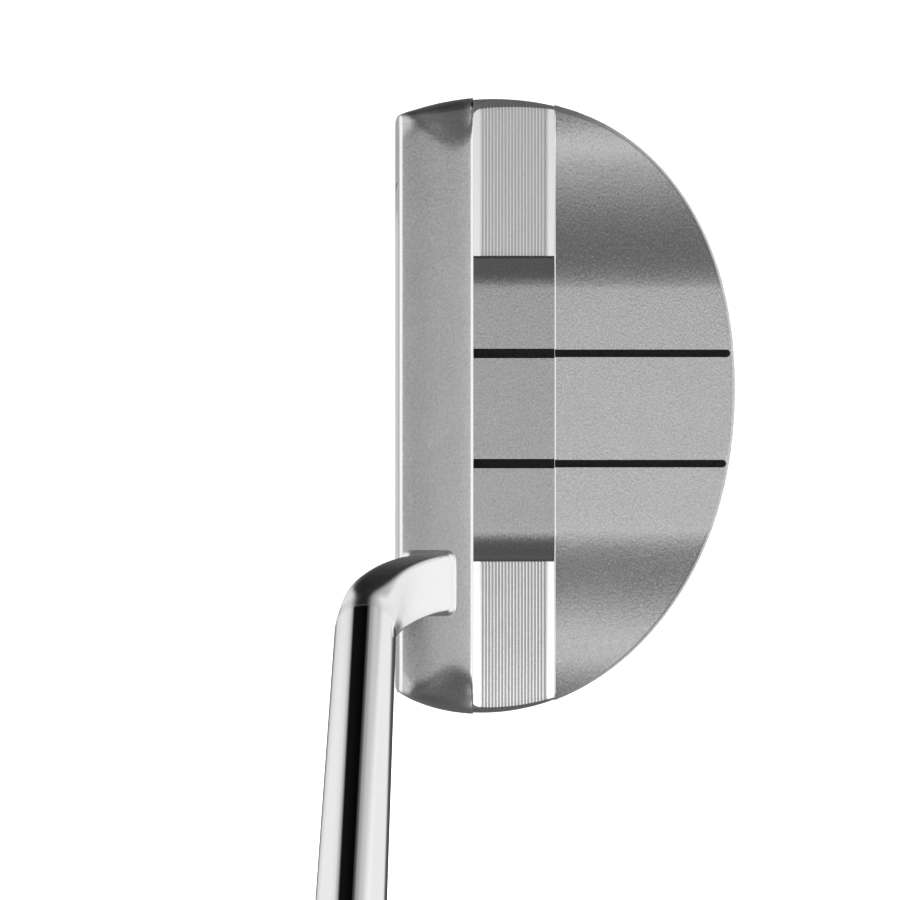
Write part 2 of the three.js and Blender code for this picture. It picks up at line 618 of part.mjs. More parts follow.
// Pistol grip: share of its length, depth in front of the axis, depth behind it, half width, flatness.
const GRIP_SECTIONS = [
  [0, 9.4, 9.4, 9.4, 0],
  [0.015, 10.2, 10.2, 10.4, 0.1],
  [0.12, 10.4, 10.6, 11.2, 0.6],
  [0.3, 10.6, 11.4, 12, 0.9],
  [0.5, 10.8, 12.4, 12.7, 1],
  [0.68, 11, 13.6, 13.1, 1],
  [0.8, 11.2, 15.6, 13.3, 1],
  [0.9, 11.4, 18, 13.4, 1],
  [0.96, 11.5, 18.8, 13.4, 1],
  [0.988, 11.3, 18.4, 13.1, 1],
  [1, 10.2, 17, 12, 0.9],
];

function grip() {
  const length = PUTTER_LENGTH - GRIP_START;
  const rings = GRIP_SECTIONS.map(([share, ...section]) => gripRing(GRIP_START + share * length, ...section));
  const shaftEnd = PUTTER_LENGTH - CAP_THICKNESS;
  const bore = post(GRIP_BORE_RADIUS, GRIP_START - PAST_THE_FACE, shaftEnd + GRIP_SHAFT_GAP, POST_SIDES);
  const vent = post(VENT_RADIUS, shaftEnd - PAST_THE_FACE, PUTTER_LENGTH + PAST_THE_FACE, VENT_SIDES);
  return geometryOf(solidOf(loft(rings)).subtract(solidOf(bore)).subtract(solidOf(vent)));
}

// ---- the putter as a scene graph -----------------------------------------------------------------------

function finish(color, roughness, metalness) {
  return new THREE.MeshStandardMaterial({ color, roughness, metalness });
}

const SATIN_STEEL = finish(0xb9babb, 0.38, 1);
const POLISHED_STEEL = finish(0xd9dadb, 0.16, 1);
const CHROME = finish(0xe6e7e8, 0.06, 1);
const INSERT_METAL = finish(0x9a9c9e, 0.45, 1);
const RUBBER = finish(0x1b1b1c, 0.85, 0);

function piece(name, geometry, material) {
  const mesh = new THREE.Mesh(geometry, material.clone());
  mesh.name = name;
  return mesh;
}

const head = new THREE.Group();
head.add(piece("head_body", headBody(), SATIN_STEEL));
head.add(piece("neck", neck(), POLISHED_STEEL));
head.add(piece("face_insert", faceInsert(), INSERT_METAL));
head.add(piece("insert_bond_pad", insertBondPad(), finish(0x303234, 0.9, 0)));
for (const [side, end] of [
  [-1, "toe"],
  [1, "heel"],
]) {
  for (const part of ["front", "rear"]) {
    head.add(piece(`line_fill_${end}_${part}`, paintFill(side, part), finish(0x0a0a0a, 0.4, 0)));
  }
  const pocket = new THREE.Group();
  pocket.position.set(side * WEIGHT_X, WEIGHT_Y, 0);
  pocket.add(piece(`sole_weight_${end}`, soleWeight(), POLISHED_STEEL));
  pocket.add(piece(`weight_washer_${end}`, weightWasher(), finish(0x2a2a2a, 0.8, 0)));
  head.add(pocket);
}

const shaft = new THREE.Group();
shaft.position.copy(SHAFT_FOOT);
shaft.rotation.y = LEAN;
const bondBottom = SHAFT_START + SHAFT_BOND_BOTTOM_GAP;
const bondTop = SHAFT_START + SHAFT_POST_LENGTH - SHAFT_BOND_TOP_GAP;
const bond = sleeve(SHAFT_BOND_INNER_RADIUS, SHAFT_BOND_OUTER_RADIUS, bondBottom, bondTop);
const tape = sleeve(TAPE_INNER_RADIUS, TAPE_OUTER_RADIUS, TAPE_START, TAPE_END);
shaft.add(piece("shaft", shaftTube(), CHROME));
shaft.add(piece("shaft_bond_sleeve", bond, finish(0xc9b98a, 0.6, 0)));
shaft.add(piece("grip_tape", tape, finish(0xd8cfae, 0.9, 0)));
shaft.add(piece("grip", grip(), RUBBER));

const putter = new THREE.Group();
putter.add(head, shaft);

export default putter;
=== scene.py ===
"""The looks of a right-handed mallet putter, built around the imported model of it.

Lengths are millimetres until a piece is made, and metres in Blender. +Z is up, the ground is z = 0, the face
looks along -Y, the toe is -X and the heel, where the golfer stands, is +X.
"""
from math import cos, exp, pi, radians, sin, sqrt, tan

import bmesh
import bpy
import numpy as np
from mathutils import Matrix, Vector


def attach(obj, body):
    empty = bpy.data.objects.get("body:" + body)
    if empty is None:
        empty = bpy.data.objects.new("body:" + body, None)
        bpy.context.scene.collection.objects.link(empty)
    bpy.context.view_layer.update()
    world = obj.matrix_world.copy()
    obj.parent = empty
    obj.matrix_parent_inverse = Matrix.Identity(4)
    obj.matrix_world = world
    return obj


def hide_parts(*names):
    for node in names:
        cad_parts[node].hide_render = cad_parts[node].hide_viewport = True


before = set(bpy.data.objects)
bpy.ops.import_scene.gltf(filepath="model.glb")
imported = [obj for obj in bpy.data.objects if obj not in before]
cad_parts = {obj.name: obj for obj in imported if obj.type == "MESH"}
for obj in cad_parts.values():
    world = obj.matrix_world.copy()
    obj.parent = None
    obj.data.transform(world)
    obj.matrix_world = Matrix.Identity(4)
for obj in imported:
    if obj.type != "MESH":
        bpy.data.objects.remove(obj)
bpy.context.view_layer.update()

MM = 0.001
BODY = "root"
TOE, HEEL = -1, 1

# ---- dimensions: the sizes are the model's, the fine detail is only here ----

LOFT = radians(3)
LEADING_EDGE_Y = -27.5
LEADING_EDGE_Z = 1.8
FACE_TOP_Z = 22.4
OUTLINE_FRONT_Y = -27.6
TOPLINE_FRONT_Y = -25.9
CREST_Y = -20.2
CREST_Z = 23.6
TOPLINE_REAR_Z = 23
TOPLINE_EDGE = 0.42  # the rounding where the topline drops to the channel
CROWN_HANDLES_Y = (-23.2, -17.2)  # in front of the crest and behind it
CHANNEL_FRONT_Y = -14.7
CHANNEL_REAR_Y = -1.5
BASE_Z = 6.5  # where the outline is largest, and below which the sole rolls in
SOLE_SHARE = 0.08
SOLE_CENTRE_Y = -4
SOLE_SCALES = (0.97, 0.9, 0.8, 0.68, 0.54, 0.4, 0.26, 0.12)
ROLL_STEPS = 6
ROLL_FRONT_Y = -26  # in front of this it follows the face

SHOULDER_FRONT_Y = -26.5
SHOULDER_WIDTHS = (1.2, 1, 16, 6.6)  # cubic's controls, from there to the channel: widest under the crest
SHOULDER_DROP = 15.6
SHOULDER_POWER = 2.4
CORNER_DROP = 2.2  # at the face corners the topline also rounds down to the face
CORNER_LENGTH = 5
CORNER_DEPTH = 2.2

BAR_Z = 10.6
BAR_FLAT_X = 19.3
BAR_END_X = 24.8
PAD_Z = 7.4
BAR_HANDLES = ((22.5, BAR_Z), (24.6, 9.6))
PAD_INSET = 1.55  # of its outer edge, at the front on the toe side
PAD_INSET_LOSS = 0.9
PAD_INSET_POWER = 1.5
PAD_CORNER = 1.0
PAD_CORNER_LENGTH = 0.5
HEEL_INSET_SHARE = 0.6
PAD_BORDER_STEPS = (0, 0.15, 0.35, 0.7, 1.1)  # between the wall and the first groove
GROOVE_COUNT = 20
GROOVE_PITCH = 0.53
GROOVE_WIDTH = 0.34
GROOVE_DEPTH = 0.1

FLANGE_Z = 11
FLANGE_FLAT_X = 18.8
WING_Z = 9.2
WING_X = 39.5
FLANGE_HANDLES = ((24, FLANGE_Z), (29, WING_Z))
WING_RISE = 0.012  # of the square of the distance past WING_X
FLANGE_CHAMFER = 0.2  # along y, at the flange's front edge
FLANGE_CHAMFER_DROP = 0.16
FLANGE_CHAMFER_SHARE = 0.3  # the most of a short column
FLANGE_INSET = 0.5
FLANGE_END_INSET = {TOE: 0.75, HEEL: 0.25}  # added towards the flange's ends
FLANGE_INSET_X = 50
FLANGE_INSET_POWER = 12

LINE_X = 8.9
FRONT_LINE_WIDTH = 1.63
REAR_LINE_WIDTH = 1.32
LINE_DEPTH = 0.5
PAINT_THICKNESS = 0.34
PAINT_GAP = 0.05
PAINT_DIP = 0.06
PAINT_DIP_INSET = 0.22
LINE_REAR_Y = {"toe": 26.87, "heel": 26.2}

INSERT_HALF_LENGTH = 36.5
INSERT_RADIUS = 7.3
INSERT_Z = 11.3
INSERT_THICKNESS = 3.4
INSERT_GAP = 0.12
INSERT_EDGE = 0.12  # the bevel round its front
INSERT_RECESS = 0.02
INSERT_GROOVE_PITCH = 0.6
INSERT_GROOVE_DEPTH = 0.07
INSERT_GROOVE_HALF_WIDTHS = (0.2, 0.08)  # at the top and the bottom of a groove
INSERT_BORDER = 0.5  # left plain round the grooves
POCKET_DEPTH = 4.36

WEIGHT_X = 35
WEIGHT_Y = -15.5
WEIGHT_POCKET_RADIUS = 6.6
WEIGHT_POCKET_DEPTH = 5.4
WEIGHT_RADIUS = 6.4
WEIGHT_RECESS = 0.25
WEIGHT_TOP = 4.6
WEIGHT_CHAMFER = 0.4
SOCKET_RADIUS = 2.6
SOCKET_LEAD_IN = 0.2
SOCKET_TOP_Z = 3.05
SOCKET_CENTRE_Z = 3.0
SOCKET_MOUTH_Z = 0.45
WEIGHT_RING = ((4.3, 0), (4.38, 0.12), (4.62, 0.12), (4.7, 0))  # (radius, depth)

LEAN = radians(20)
SHAFT_FOOT = Vector((17.5, -31.3, 0))
SHAFT_DIRECTION = Vector((sin(LEAN), 0, cos(LEAN)))
PUTTER_LENGTH = 863.6
SHAFT_START = 50
TIP_RADIUS = 4.7
BUTT_RADIUS = 7.35
SHAFT_WALL = 0.45
PARALLEL_END = 330
STEP_COUNT = 9
STEP_LENGTH = 28
STEP_RAMP = 3
CAP_THICKNESS = 3.4

NECK_FOOT = Vector((27.7, -21.3, 22.7))
NECK_FOOT_HANDLE = Vector((28.3, -26.8, 31))
NECK_TOP = SHAFT_FOOT + SHAFT_START * SHAFT_DIRECTION
NECK_TOP_HANDLE = NECK_TOP - 10.6 * SHAFT_DIRECTION
NECK_HALF_WIDTH = 4.5
NECK_HALF_DEPTH = 3.65
NECK_CORNER_POWER = 7
NECK_START = 0.03  # the share of its curve at the topline
NECK_ARM_START = 0.1  # and above its fillet
NECK_ROUNDING = (0.45, 0.9)
NECK_TILTING = (0.2, 0.95)
NECK_FILLET = 0.75
NECK_SIDES = 96
HEAD_TO_NECK_GAP = 0.02
SPIGOT = (27.8, -21.8)
SPIGOT_RADIUS = 2.9
SPIGOT_BOTTOM_Z = 19.4
SPIGOT_HOLE_RADIUS = 3
SPIGOT_HOLE_Z = 19.2
POST_RADIUS = 3.75
POST_LENGTH = 24

GRIP_START = 596
GRIP_BORE_RADIUS = 8.05
GRIP_MEAN_RADIUS = 12
GRIP_FRONT = -0.35  # the cosine where the front's ribs begin
GRIP_FRONT_FULL = -0.5  # and where they are at full depth
GRIP_BACK = (-0.3, -0.15)  # cosines where the back's pattern begins
PATTERN_RISE = (0.05, 0.065)  # shares of the grip's length
PATTERN_FALL = (0.915, 0.93)
RIB_PITCH = 3.2
RIB_DEPTH = 0.32
RIB_HALF_WIDTHS = (0.35, 0.75)
SLOT_PITCH = 4.4
SLOT_DEPTH = 0.38
SLOT_HALF_WIDTHS = (0.5, 1.0)
SLOTS_AROUND = 14
SLOT_SHARES = (0.26, 0.34)  # of the space from one slot to the next
VENT_ROWS = ((7, 0), (6.6, -0.3), (1.6, -0.3), (1.3, -0.6))  # (radius, height) in the cap
CAP_CLEARANCE = 0.3


# ---- mesh helpers ----


def cubic_weights(t):
    """The shares of a cubic curve's four control points."""
    return ((1 - t) ** 3, 3 * (1 - t) ** 2 * t, 3 * (1 - t) * t**2, t**3)


def bezier(a, b, c, d, count):
    """Points along a cubic curve."""
    controls = [np.array(p, float) for p in (a, b, c, d)]
    t = np.linspace(0, 1, count)[:, None]
    return sum(weight * control for weight, control in zip(cubic_weights(t), controls))


def quadratic(a, b, c, count):
    """Points along a quadratic curve."""
    a, b, c = (np.array(p, float) for p in (a, b, c))
    t = np.linspace(0, 1, count)[:, None]
    return (1 - t) ** 2 * a + 2 * (1 - t) * t * b + t**2 * c


def arc(x, y, radius, start, turn, steps):
    """Points along an arc, with both its ends."""
    angles = [start + turn * step / steps for step in range(steps + 1)]
    return [(x + radius * cos(angle), y + radius * sin(angle)) for angle in angles]


def smoothstep(low, high, value):
    """0 at low and 1 at high, with an eased rise between them."""
    t = min(max((value - low) / (high - low), 0), 1)
    return t * t * (3 - 2 * t)


def linked(name, data):
    """A new object in the scene."""
    made = bpy.data.objects.new(name, data)
    bpy.context.scene.collection.objects.link(made)
    return made


WELD = 2e-6  # metres
SLIT_SIDES = 6


class Skin:
    """Grids of points in millimetres that are sewn into one mesh."""

    def __init__(self):
        self.points = []
        self.faces = []
        self.zones = []

    def grid(self, rows, zone=0, closed=False):
        """Quads between neighbouring rows; zone is a material index, or a function of row and column."""
        width = len(rows[0])
        start = len(self.points)
        for row in rows:
            self.points.extend(tuple(p) for p in row)
        for r in range(len(rows) - 1):
            for c in range(width if closed else width - 1):
                a = start + r * width + c
                b = start + r * width + (c + 1) % width
                self.faces.append((a, b, b + width, a + width))
                self.zones.append(zone(r, c) if callable(zone) else zone)

    def cap(self, ring, zone=0):
        """One flat face over a ring."""
        start = len(self.points)
        self.points.extend(tuple(p) for p in ring)
        self.faces.append(tuple(range(start, start + len(ring))))
        self.zones.append(zone)

    def build(self, name, materials, matrix=None):
        """The sewn mesh as a closed object with its faces pointing out; cut() needs it closed."""
        mesh = bpy.data.meshes.new(name)
        mesh.from_pydata(self.points, [], self.faces)
        for material in materials:
            mesh.materials.append(material)
        mesh.polygons.foreach_set("material_index", self.zones)
        mesh.transform(Matrix.Scale(MM, 4) @ (matrix or Matrix.Identity(4)))
        sewn = bmesh.new()
        sewn.from_mesh(mesh)
        bmesh.ops.remove_doubles(sewn, verts=sewn.verts, dist=WELD)
        bmesh.ops.dissolve_degenerate(sewn, dist=WELD, edges=sewn.edges)
        slits = [edge for edge in sewn.edges if edge.is_boundary]
        bmesh.ops.holes_fill(sewn, edges=slits, sides=SLIT_SIDES)
        bmesh.ops.recalc_face_normals(sewn, faces=sewn.faces)
        sewn.to_mesh(mesh)
        sewn.free()
        return linked(name, mesh)


def smooth(piece, angle=32):
    """Smooth shading with sharp edges past an angle, and flat faces kept flat."""
    piece.data.polygons.foreach_set("use_smooth", [True] * len(piece.data.polygons))
    piece.data.set_sharp_from_angle(angle=radians(angle))
    weighted = piece.modifiers.new("flat_faces_stay_flat", "WEIGHTED_NORMAL")
    weighted.keep_sharp = True
    return piece


def cut(piece, cutters):
    """Takes the cutters out of the piece, one after another, and deletes them."""
    for cutter in cutters:
        step = piece.modifiers.new("cut", "BOOLEAN")
        step.operation = "DIFFERENCE"
        step.solver = "MANIFOLD"
        step.object = cutter
        bpy.context.view_layer.update()
        graph = bpy.context.evaluated_depsgraph_get()
        result = bpy.data.meshes.new_from_object(piece.evaluated_get(graph))
        piece.modifiers.clear()
        piece.data = result
        bpy.data.objects.remove(cutter)
    return piece


def declare(piece, slot, node):
    """The piece rides on the putter, shows in reflections or not by its slot, and hides the CAD node it
    stands for.
    """
    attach(piece, BODY)
    # Only the pieces above the head show in reflections: it mirrors them, and nothing mirrors it.
    piece.visible_glossy = slot in ("neck_steel", "shaft_chrome", "grip_rubber")
    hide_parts(node)


def finished(skin, name, material, angle, slot, node, matrix=None):
    """A whole piece from its skin: built, smoothed past an angle, and declared."""
    declare(smooth(skin.build(name, [material], matrix), angle), slot, node)


# ---- materials ----


def new_material(name):
    """A node material with its tree and its shader."""
    material = bpy.data.materials.new(name)
    material.use_nodes = True
    tree = material.node_tree
    shader = tree.nodes["Principled BSDF"]
    return material, tree, shader


def object_noise(tree, scale, detail, stretch=(1, 1, 1), roughness=0.5):
    """Noise in the object's own coordinates; scale is per metre."""
    coordinates = tree.nodes.new("ShaderNodeTexCoord")
    mapping = tree.nodes.new("ShaderNodeMapping")
    mapping.inputs["Scale"].default_value = stretch
    noise = tree.nodes.new("ShaderNodeTexNoise")
    noise.inputs["Scale"].default_value = scale
    noise.inputs["Detail"].default_value = detail
    noise.inputs["Roughness"].default_value = roughness
    tree.links.new(coordinates.outputs["Object"], mapping.inputs["Vector"])
    tree.links.new(mapping.outputs["Vector"], noise.inputs["Vector"])
    return noise.outputs["Fac"]


def ranged(tree, value, low, high, from_low=0.3, from_high=0.7):
    """The value, stretched from one range to another."""
    node = tree.nodes.new("ShaderNodeMapRange")
    node.inputs["From Min"].default_value = from_low
    node.inputs["From Max"].default_value = from_high
    node.inputs["To Min"].default_value = low
    node.inputs["To Max"].default_value = high
    tree.links.new(value, node.inputs["Value"])
    return node.outputs["Result"]


def mixed(tree, factor, first, second, mode="MIX"):
    """Two colours mixed by a factor, or multiplied; each is a colour or a node's output."""
    node = tree.nodes.new("ShaderNodeMix")
    node.data_type = "RGBA"
    node.blend_type = mode
    if isinstance(factor, float):
        node.inputs["Factor"].default_value = factor
    else:
        tree.links.new(factor, node.inputs["Factor"])
    for socket, value in (("A", first), ("B", second)):
        if isinstance(value, tuple):
            node.inputs[socket].default_value = (*value, 1)
        else:
            tree.links.new(value, node.inputs[socket])
    return node.outputs["Result"]


def added(tree, first, second, share):
    """A weighted sum of two values, for one pattern on top of another."""
    mix = tree.nodes.new("ShaderNodeMix")
    mix.inputs["Factor"].default_value = share
    tree.links.new(first, mix.inputs["A"])
    tree.links.new(second, mix.inputs["B"])
    return mix.outputs["Result"]


def bump(tree, shader, height, distance):
    """Fine relief; distance is in metres."""
    node = tree.nodes.new("ShaderNodeBump")
    node.inputs["Distance"].default_value = distance
    tree.links.new(height, node.inputs["Height"])
    tree.links.new(node.outputs["Normal"], shader.inputs["Normal"])


def steel_grey(value):
    """A grey with a trace of blue."""
    return (value, value * 1.004, value * 1.01)


def metal(name, tone, contrast, roughness, grain, stretch=(1, 1, 1), relief=0.0):
    """Steel or aluminium: a grain that varies its tone and roughness, over broad soft unevenness."""
    material, tree, shader = new_material(name)
    fine = object_noise(tree, grain, 3, stretch, 0.65)
    broad = object_noise(tree, 140, 2)
    pattern = added(tree, ranged(tree, fine, 0, 1), ranged(tree, broad, 0, 1), 0.15)
    colour = mixed(tree, pattern, steel_grey(tone * (1 - contrast)), steel_grey(tone * (1 + contrast)))
    tree.links.new(colour, shader.inputs["Base Color"])
    rough = ranged(tree, pattern, roughness * 0.88, roughness * 1.14, 0, 1)
    tree.links.new(rough, shader.inputs["Roughness"])
    shader.inputs["Metallic"].default_value = 1
    if relief:
        bump(tree, shader, fine, relief)
    return material


def plain(name, dark, light, roughness, grain, relief, specular=0.5):
    """A non-metal with a mottled colour and a fine relief."""
    material, tree, shader = new_material(name)
    pattern = object_noise(tree, grain, 3)
    tree.links.new(mixed(tree, ranged(tree, pattern, 0, 1), dark, light), shader.inputs["Base Color"])
    rough = ranged(tree, pattern, roughness * 0.85, roughness * 1.15)
    tree.links.new(rough, shader.inputs["Roughness"])
    shader.inputs["Specular IOR Level"].default_value = specular
    bump(tree, shader, pattern, relief)
    return material


# Name, tone, contrast, roughness, grain per metre, and the grain's stretch.
BLASTED = metal("bead_blasted_steel", 0.6, 0.2, 0.31, 2900, relief=4e-5)
MILLED = metal("fine_blasted_steel", 0.6, 0.14, 0.25, 3100, (0.7, 1, 1), relief=3.4e-5)
# The bar's steel is the fine blasted steel made darker: painted shade on the bar in the channel.
BAR_STEEL_PAINTED_SHADE = metal("blasted_bar_steel_painted_shade", 0.49, 0.14, 0.25, 3100, (0.7, 1, 1), relief=3.4e-5)
# The grooves' steel has a real rougher cut finish, and a darker tone that is painted shade in the grooves.
GROOVE_STEEL_PAINTED_SHADE = metal("groove_cut_steel_painted_shade", 0.42, 0.1, 0.3, 3000, (0.1, 1, 1))
BRIGHT = metal("bright_cut_steel", 0.93, 0.03, 0.14, 2600, (0.05, 1, 1))
NECK_STEEL = metal("polished_neck_steel", 0.9, 0.015, 0.22, 900)
WEIGHT_STEEL = metal("turned_weight_steel", 0.74, 0.06, 0.24, 3000)
CHROME = metal("shaft_chrome_plate", 0.95, 0.01, 0.04, 900, (1, 1, 0.05))
INSERT_METAL = metal("milled_insert_aluminium", 0.7, 0.08, 0.3, 3200, (0.08, 1, 1), relief=4e-6)

# Name, darkest and lightest colour, roughness, grain per metre and relief.
LINE_PAINT = plain("black_line_paint", (0.002,) * 3, (0.004,) * 3, 0.3, 1500, 4e-6, specular=0.08)
GRIP_RUBBER = plain("black_grip_rubber", (0.014, 0.014, 0.015), (0.028, 0.028, 0.029), 0.72, 2600, 3e-5)
BOND_RUBBER = plain("grey_bond_rubber", (0.03, 0.032, 0.035), (0.05, 0.052, 0.056), 0.8, 1800, 2e-5)
NYLON = plain("dark_nylon", (0.02, 0.02, 0.021), (0.034, 0.034, 0.036), 0.55, 1200, 1e-5)
EPOXY = plain("amber_epoxy", (0.42, 0.33, 0.16), (0.55, 0.45, 0.24), 0.4, 900, 1e-5)
TAPE = plain("cream_paper_tape", (0.62, 0.56, 0.42), (0.74, 0.69, 0.55), 0.85, 2200, 2e-5)

# ---- head: outline and heights ----

DENSE = 400  # points on each of the outline's curves
FINE = 60  # points on a curve that heights are read from
CURVES = {
    HEEL: np.vstack([
        bezier((44.9, -27.6), (47.6, -24.6), (49.4, -19.5), (49.4, -13.3), DENSE),
        bezier((49.4, -13.3), (49.4, 7.6), (29.2, 27.65), (-3.2, 27.65), DENSE)[1:],
    ]),
    TOE: np.vstack([
        bezier((-46.6, -27.6), (-48.4, -24.2), (-50.35, -18.5), (-50.35, -11.4), DENSE),
        bezier((-50.35, -11.4), (-50.35, 12.4), (-32.2, 27.65), (-3.2, 27.65), DENSE)[1:],
    ]),
}
RELIEF = quadratic((4, 0), (16, 0.5), (32, 5.6), FINE)


def outline_x(side, y):
    """The outline's x at a given y, on the toe or the heel side."""
    return float(np.interp(y, CURVES[side][:, 1], CURVES[side][:, 0]))


def face_y(z):
    """The lofted face plane's y at a height."""
    return LEADING_EDGE_Y + (min(z, FACE_TOP_Z) - LEADING_EDGE_Z) * tan(LOFT)


def relief_z(y):
    """How far the sole has lifted off the ground at y."""
    return float(np.interp(y, RELIEF[:, 0], RELIEF[:, 1]))


CROWN_POINTS = 11
CROWN_THINNING = 5  # behind the crest, every fifth point is a row
TOPLINE_EDGE_POINTS = 5
TOPLINE_EDGE_DROP = 0.1


def topline_rows():
    """The topline from front to rear as (y, z): front edge, crown, rear edge."""
    front = face_y(FACE_TOP_Z)
    start = (TOPLINE_FRONT_Y, TOPLINE_REAR_Z)
    crest = (CREST_Y, CREST_Z)
    end = (CHANNEL_FRONT_Y, TOPLINE_REAR_Z)
    crown_front = quadratic(start, (CROWN_HANDLES_Y[0], CREST_Z), crest, CROWN_POINTS)
    crown_rear = quadratic(crest, (CROWN_HANDLES_Y[1], CREST_Z), end, FINE)
    last_y = CHANNEL_FRONT_Y - TOPLINE_EDGE
    last_z = float(np.interp(last_y, crown_rear[:, 0], crown_rear[:, 1]))
    kept = crown_rear[crown_rear[:, 0] < last_y][::CROWN_THINNING]
    handle = (front, TOPLINE_REAR_Z - TOPLINE_EDGE_DROP)
    front_edge = quadratic((front, FACE_TOP_Z), handle, crown_front[0], TOPLINE_EDGE_POINTS)
    handle = (CHANNEL_FRONT_Y, last_z - TOPLINE_EDGE_DROP)
    wall_top = (CHANNEL_FRONT_Y, last_z - TOPLINE_EDGE)
    rear_edge = quadratic((last_y, last_z), handle, wall_top, TOPLINE_EDGE_POINTS)
    return np.vstack([front_edge, crown_front[1:], kept[1:], rear_edge])


def shoulder_width(y):
    """How far inside the outline the shoulder begins."""
    t = min(max((y - SHOULDER_FRONT_Y) / (CHANNEL_FRONT_Y - SHOULDER_FRONT_Y), 0), 1)
    return sum(weight * width for weight, width in zip(cubic_weights(t), SHOULDER_WIDTHS))


def shoulder_drop(x, y):
    """How far the shoulder has turned down at (x, y): level at its start, upright at the outline."""
    inside = abs(outline_x(HEEL if x > 0 else TOE, y)) - abs(x)
    share = min(max(1 - inside / shoulder_width(y), 0), 1)
    drop = SHOULDER_DROP * (1 - (1 - share**SHOULDER_POWER) ** (1 / SHOULDER_POWER))
    corner = CORNER_DROP * (1 - smoothstep(0, CORNER_LENGTH, inside))
    corner *= exp(-(y - face_y(FACE_TOP_Z)) / CORNER_DEPTH)
    return min(drop + corner, SHOULDER_DROP)


def topline_z(x, y):
    """The topline's height, for what stands on it."""
    rows = topline_rows()
    return float(np.interp(y, rows[:, 0], rows[:, 1])) - shoulder_drop(x, y)


FLANGE_FALL = bezier((FLANGE_FLAT_X, FLANGE_Z), *FLANGE_HANDLES, (WING_X, WING_Z), FINE)


def flange_z(x):
    """Plateau, a fall in an S, and a wing that rises a little again."""
    z = float(np.interp(abs(x), FLANGE_FALL[:, 0], FLANGE_FALL[:, 1]))
    return z + WING_RISE * max(abs(x) - WING_X, 0) ** 2


def bar_end(count):
    """The bar's rolled-down end as points (x, z), from its flat top to the pad."""
    return bezier((BAR_FLAT_X, BAR_Z), *BAR_HANDLES, (BAR_END_X, PAD_Z), count)


BAR_END = bar_end(FINE)


def channel_z(x):
    """The bar with its rolled-down ends, and the pads."""
    return float(np.interp(abs(x), BAR_END[:, 0], BAR_END[:, 1]))


def pad_inset(side, y):
    """How far the pad's outer edge lies inside the outline."""
    share = (y - CHANNEL_FRONT_Y) / (CHANNEL_REAR_Y - CHANNEL_FRONT_Y)
    corner = PAD_CORNER * exp(-(y - CHANNEL_FRONT_Y) / PAD_CORNER_LENGTH)
    inset = PAD_INSET - PAD_INSET_LOSS * share**PAD_INSET_POWER + corner
    return inset * (1 if side == TOE else HEEL_INSET_SHARE)


def flange_inset(x):
    """How far the flange's edge lies inside the outline: most at the toe, least at the rear."""
    extra = FLANGE_END_INSET[TOE if x < 0 else HEEL]
    return FLANGE_INSET + extra * (abs(x) / FLANGE_INSET_X) ** FLANGE_INSET_POWER


# ---- head: the sewn skin ----

EDGE_STEPS = 8
EDGE_START = radians(28)
EDGE_HEIGHT_SHARE = 0.85  # the most of a side's height that its rounding takes
WALL_SHARES = np.linspace(0, 1, 9)
ZONE_BLASTED, ZONE_MILLED, ZONE_BRIGHT, ZONE_BAR, ZONE_GROOVE = range(5)


def edge_levels(inset, top):
    """A rounded edge and the side below it, as (distance inside the outline, z), from the top down."""
    rounding = min(inset, EDGE_HEIGHT_SHARE * (top - BASE_Z))
    levels = []
    for step in range(EDGE_STEPS + 1):
        angle = EDGE_START + (pi / 2 - EDGE_START) * step / EDGE_STEPS
        inside = inset * (1 - sin(angle)) / (1 - sin(EDGE_START))
        fall = rounding * (cos(EDGE_START) - cos(angle)) / cos(EDGE_START)
        levels.append((inside, top - fall))
    levels.append((0, BASE_Z))
    return levels


BAR_FLAT_COLUMNS = 9
BAR_END_COLUMNS = 15


def inner_columns():
    """x of the columns on the heel half of the bar, from the middle out to the bar's foot."""
    flat = np.linspace(0, BAR_FLAT_X, BAR_FLAT_COLUMNS)
    return np.concatenate([flat, bar_end(BAR_END_COLUMNS)[1:, 0]])


# Shares of a pad's length; the columns near its ends give the grooves clean ends.
PAD_SHARES = np.array([0.002, *np.linspace(0, 1, 27)[1:-1], 0.998, 1])
PAD_COLUMNS = len(PAD_SHARES)


def full_columns(toe_edge, heel_edge):
    """x of every column from the toe edge to the heel edge; the inner ones are always the same."""
    half = inner_columns()
    heel = BAR_END_X + (heel_edge - BAR_END_X) * PAD_SHARES
    toe = -BAR_END_X + (toe_edge + BAR_END_X) * PAD_SHARES
    return np.concatenate([toe[::-1], -half[:0:-1], half, heel])


def with_edges(y, top_points, insets):
    """A row of top points with the rounded edge and side added at both ends."""
    ends = {}
    for side, point in ((TOE, top_points[0]), (HEEL, top_points[-1])):
        levels = edge_levels(insets[side], point[2])[1:]
        ends[side] = [(outline_x(side, y) - side * inside, y, z) for inside, z in levels]
    return ends[TOE][::-1] + top_points + ends[HEEL]


def channel_row(y, groove=0.0):
    """One row of the channel floor, with a groove's depth taken off the pads."""
    insets = {side: pad_inset(side, y) for side in (TOE, HEEL)}
    columns = full_columns(outline_x(TOE, y) + insets[TOE], outline_x(HEEL, y) - insets[HEEL])
    points = [(x, y, channel_z(x)) for x in columns]
    last = len(points) - 1
    for i in (*range(1, PAD_COLUMNS), *range(last + 1 - PAD_COLUMNS, last)):
        points[i] = (points[i][0], y, PAD_Z - groove)
    return with_edges(y, points, insets)


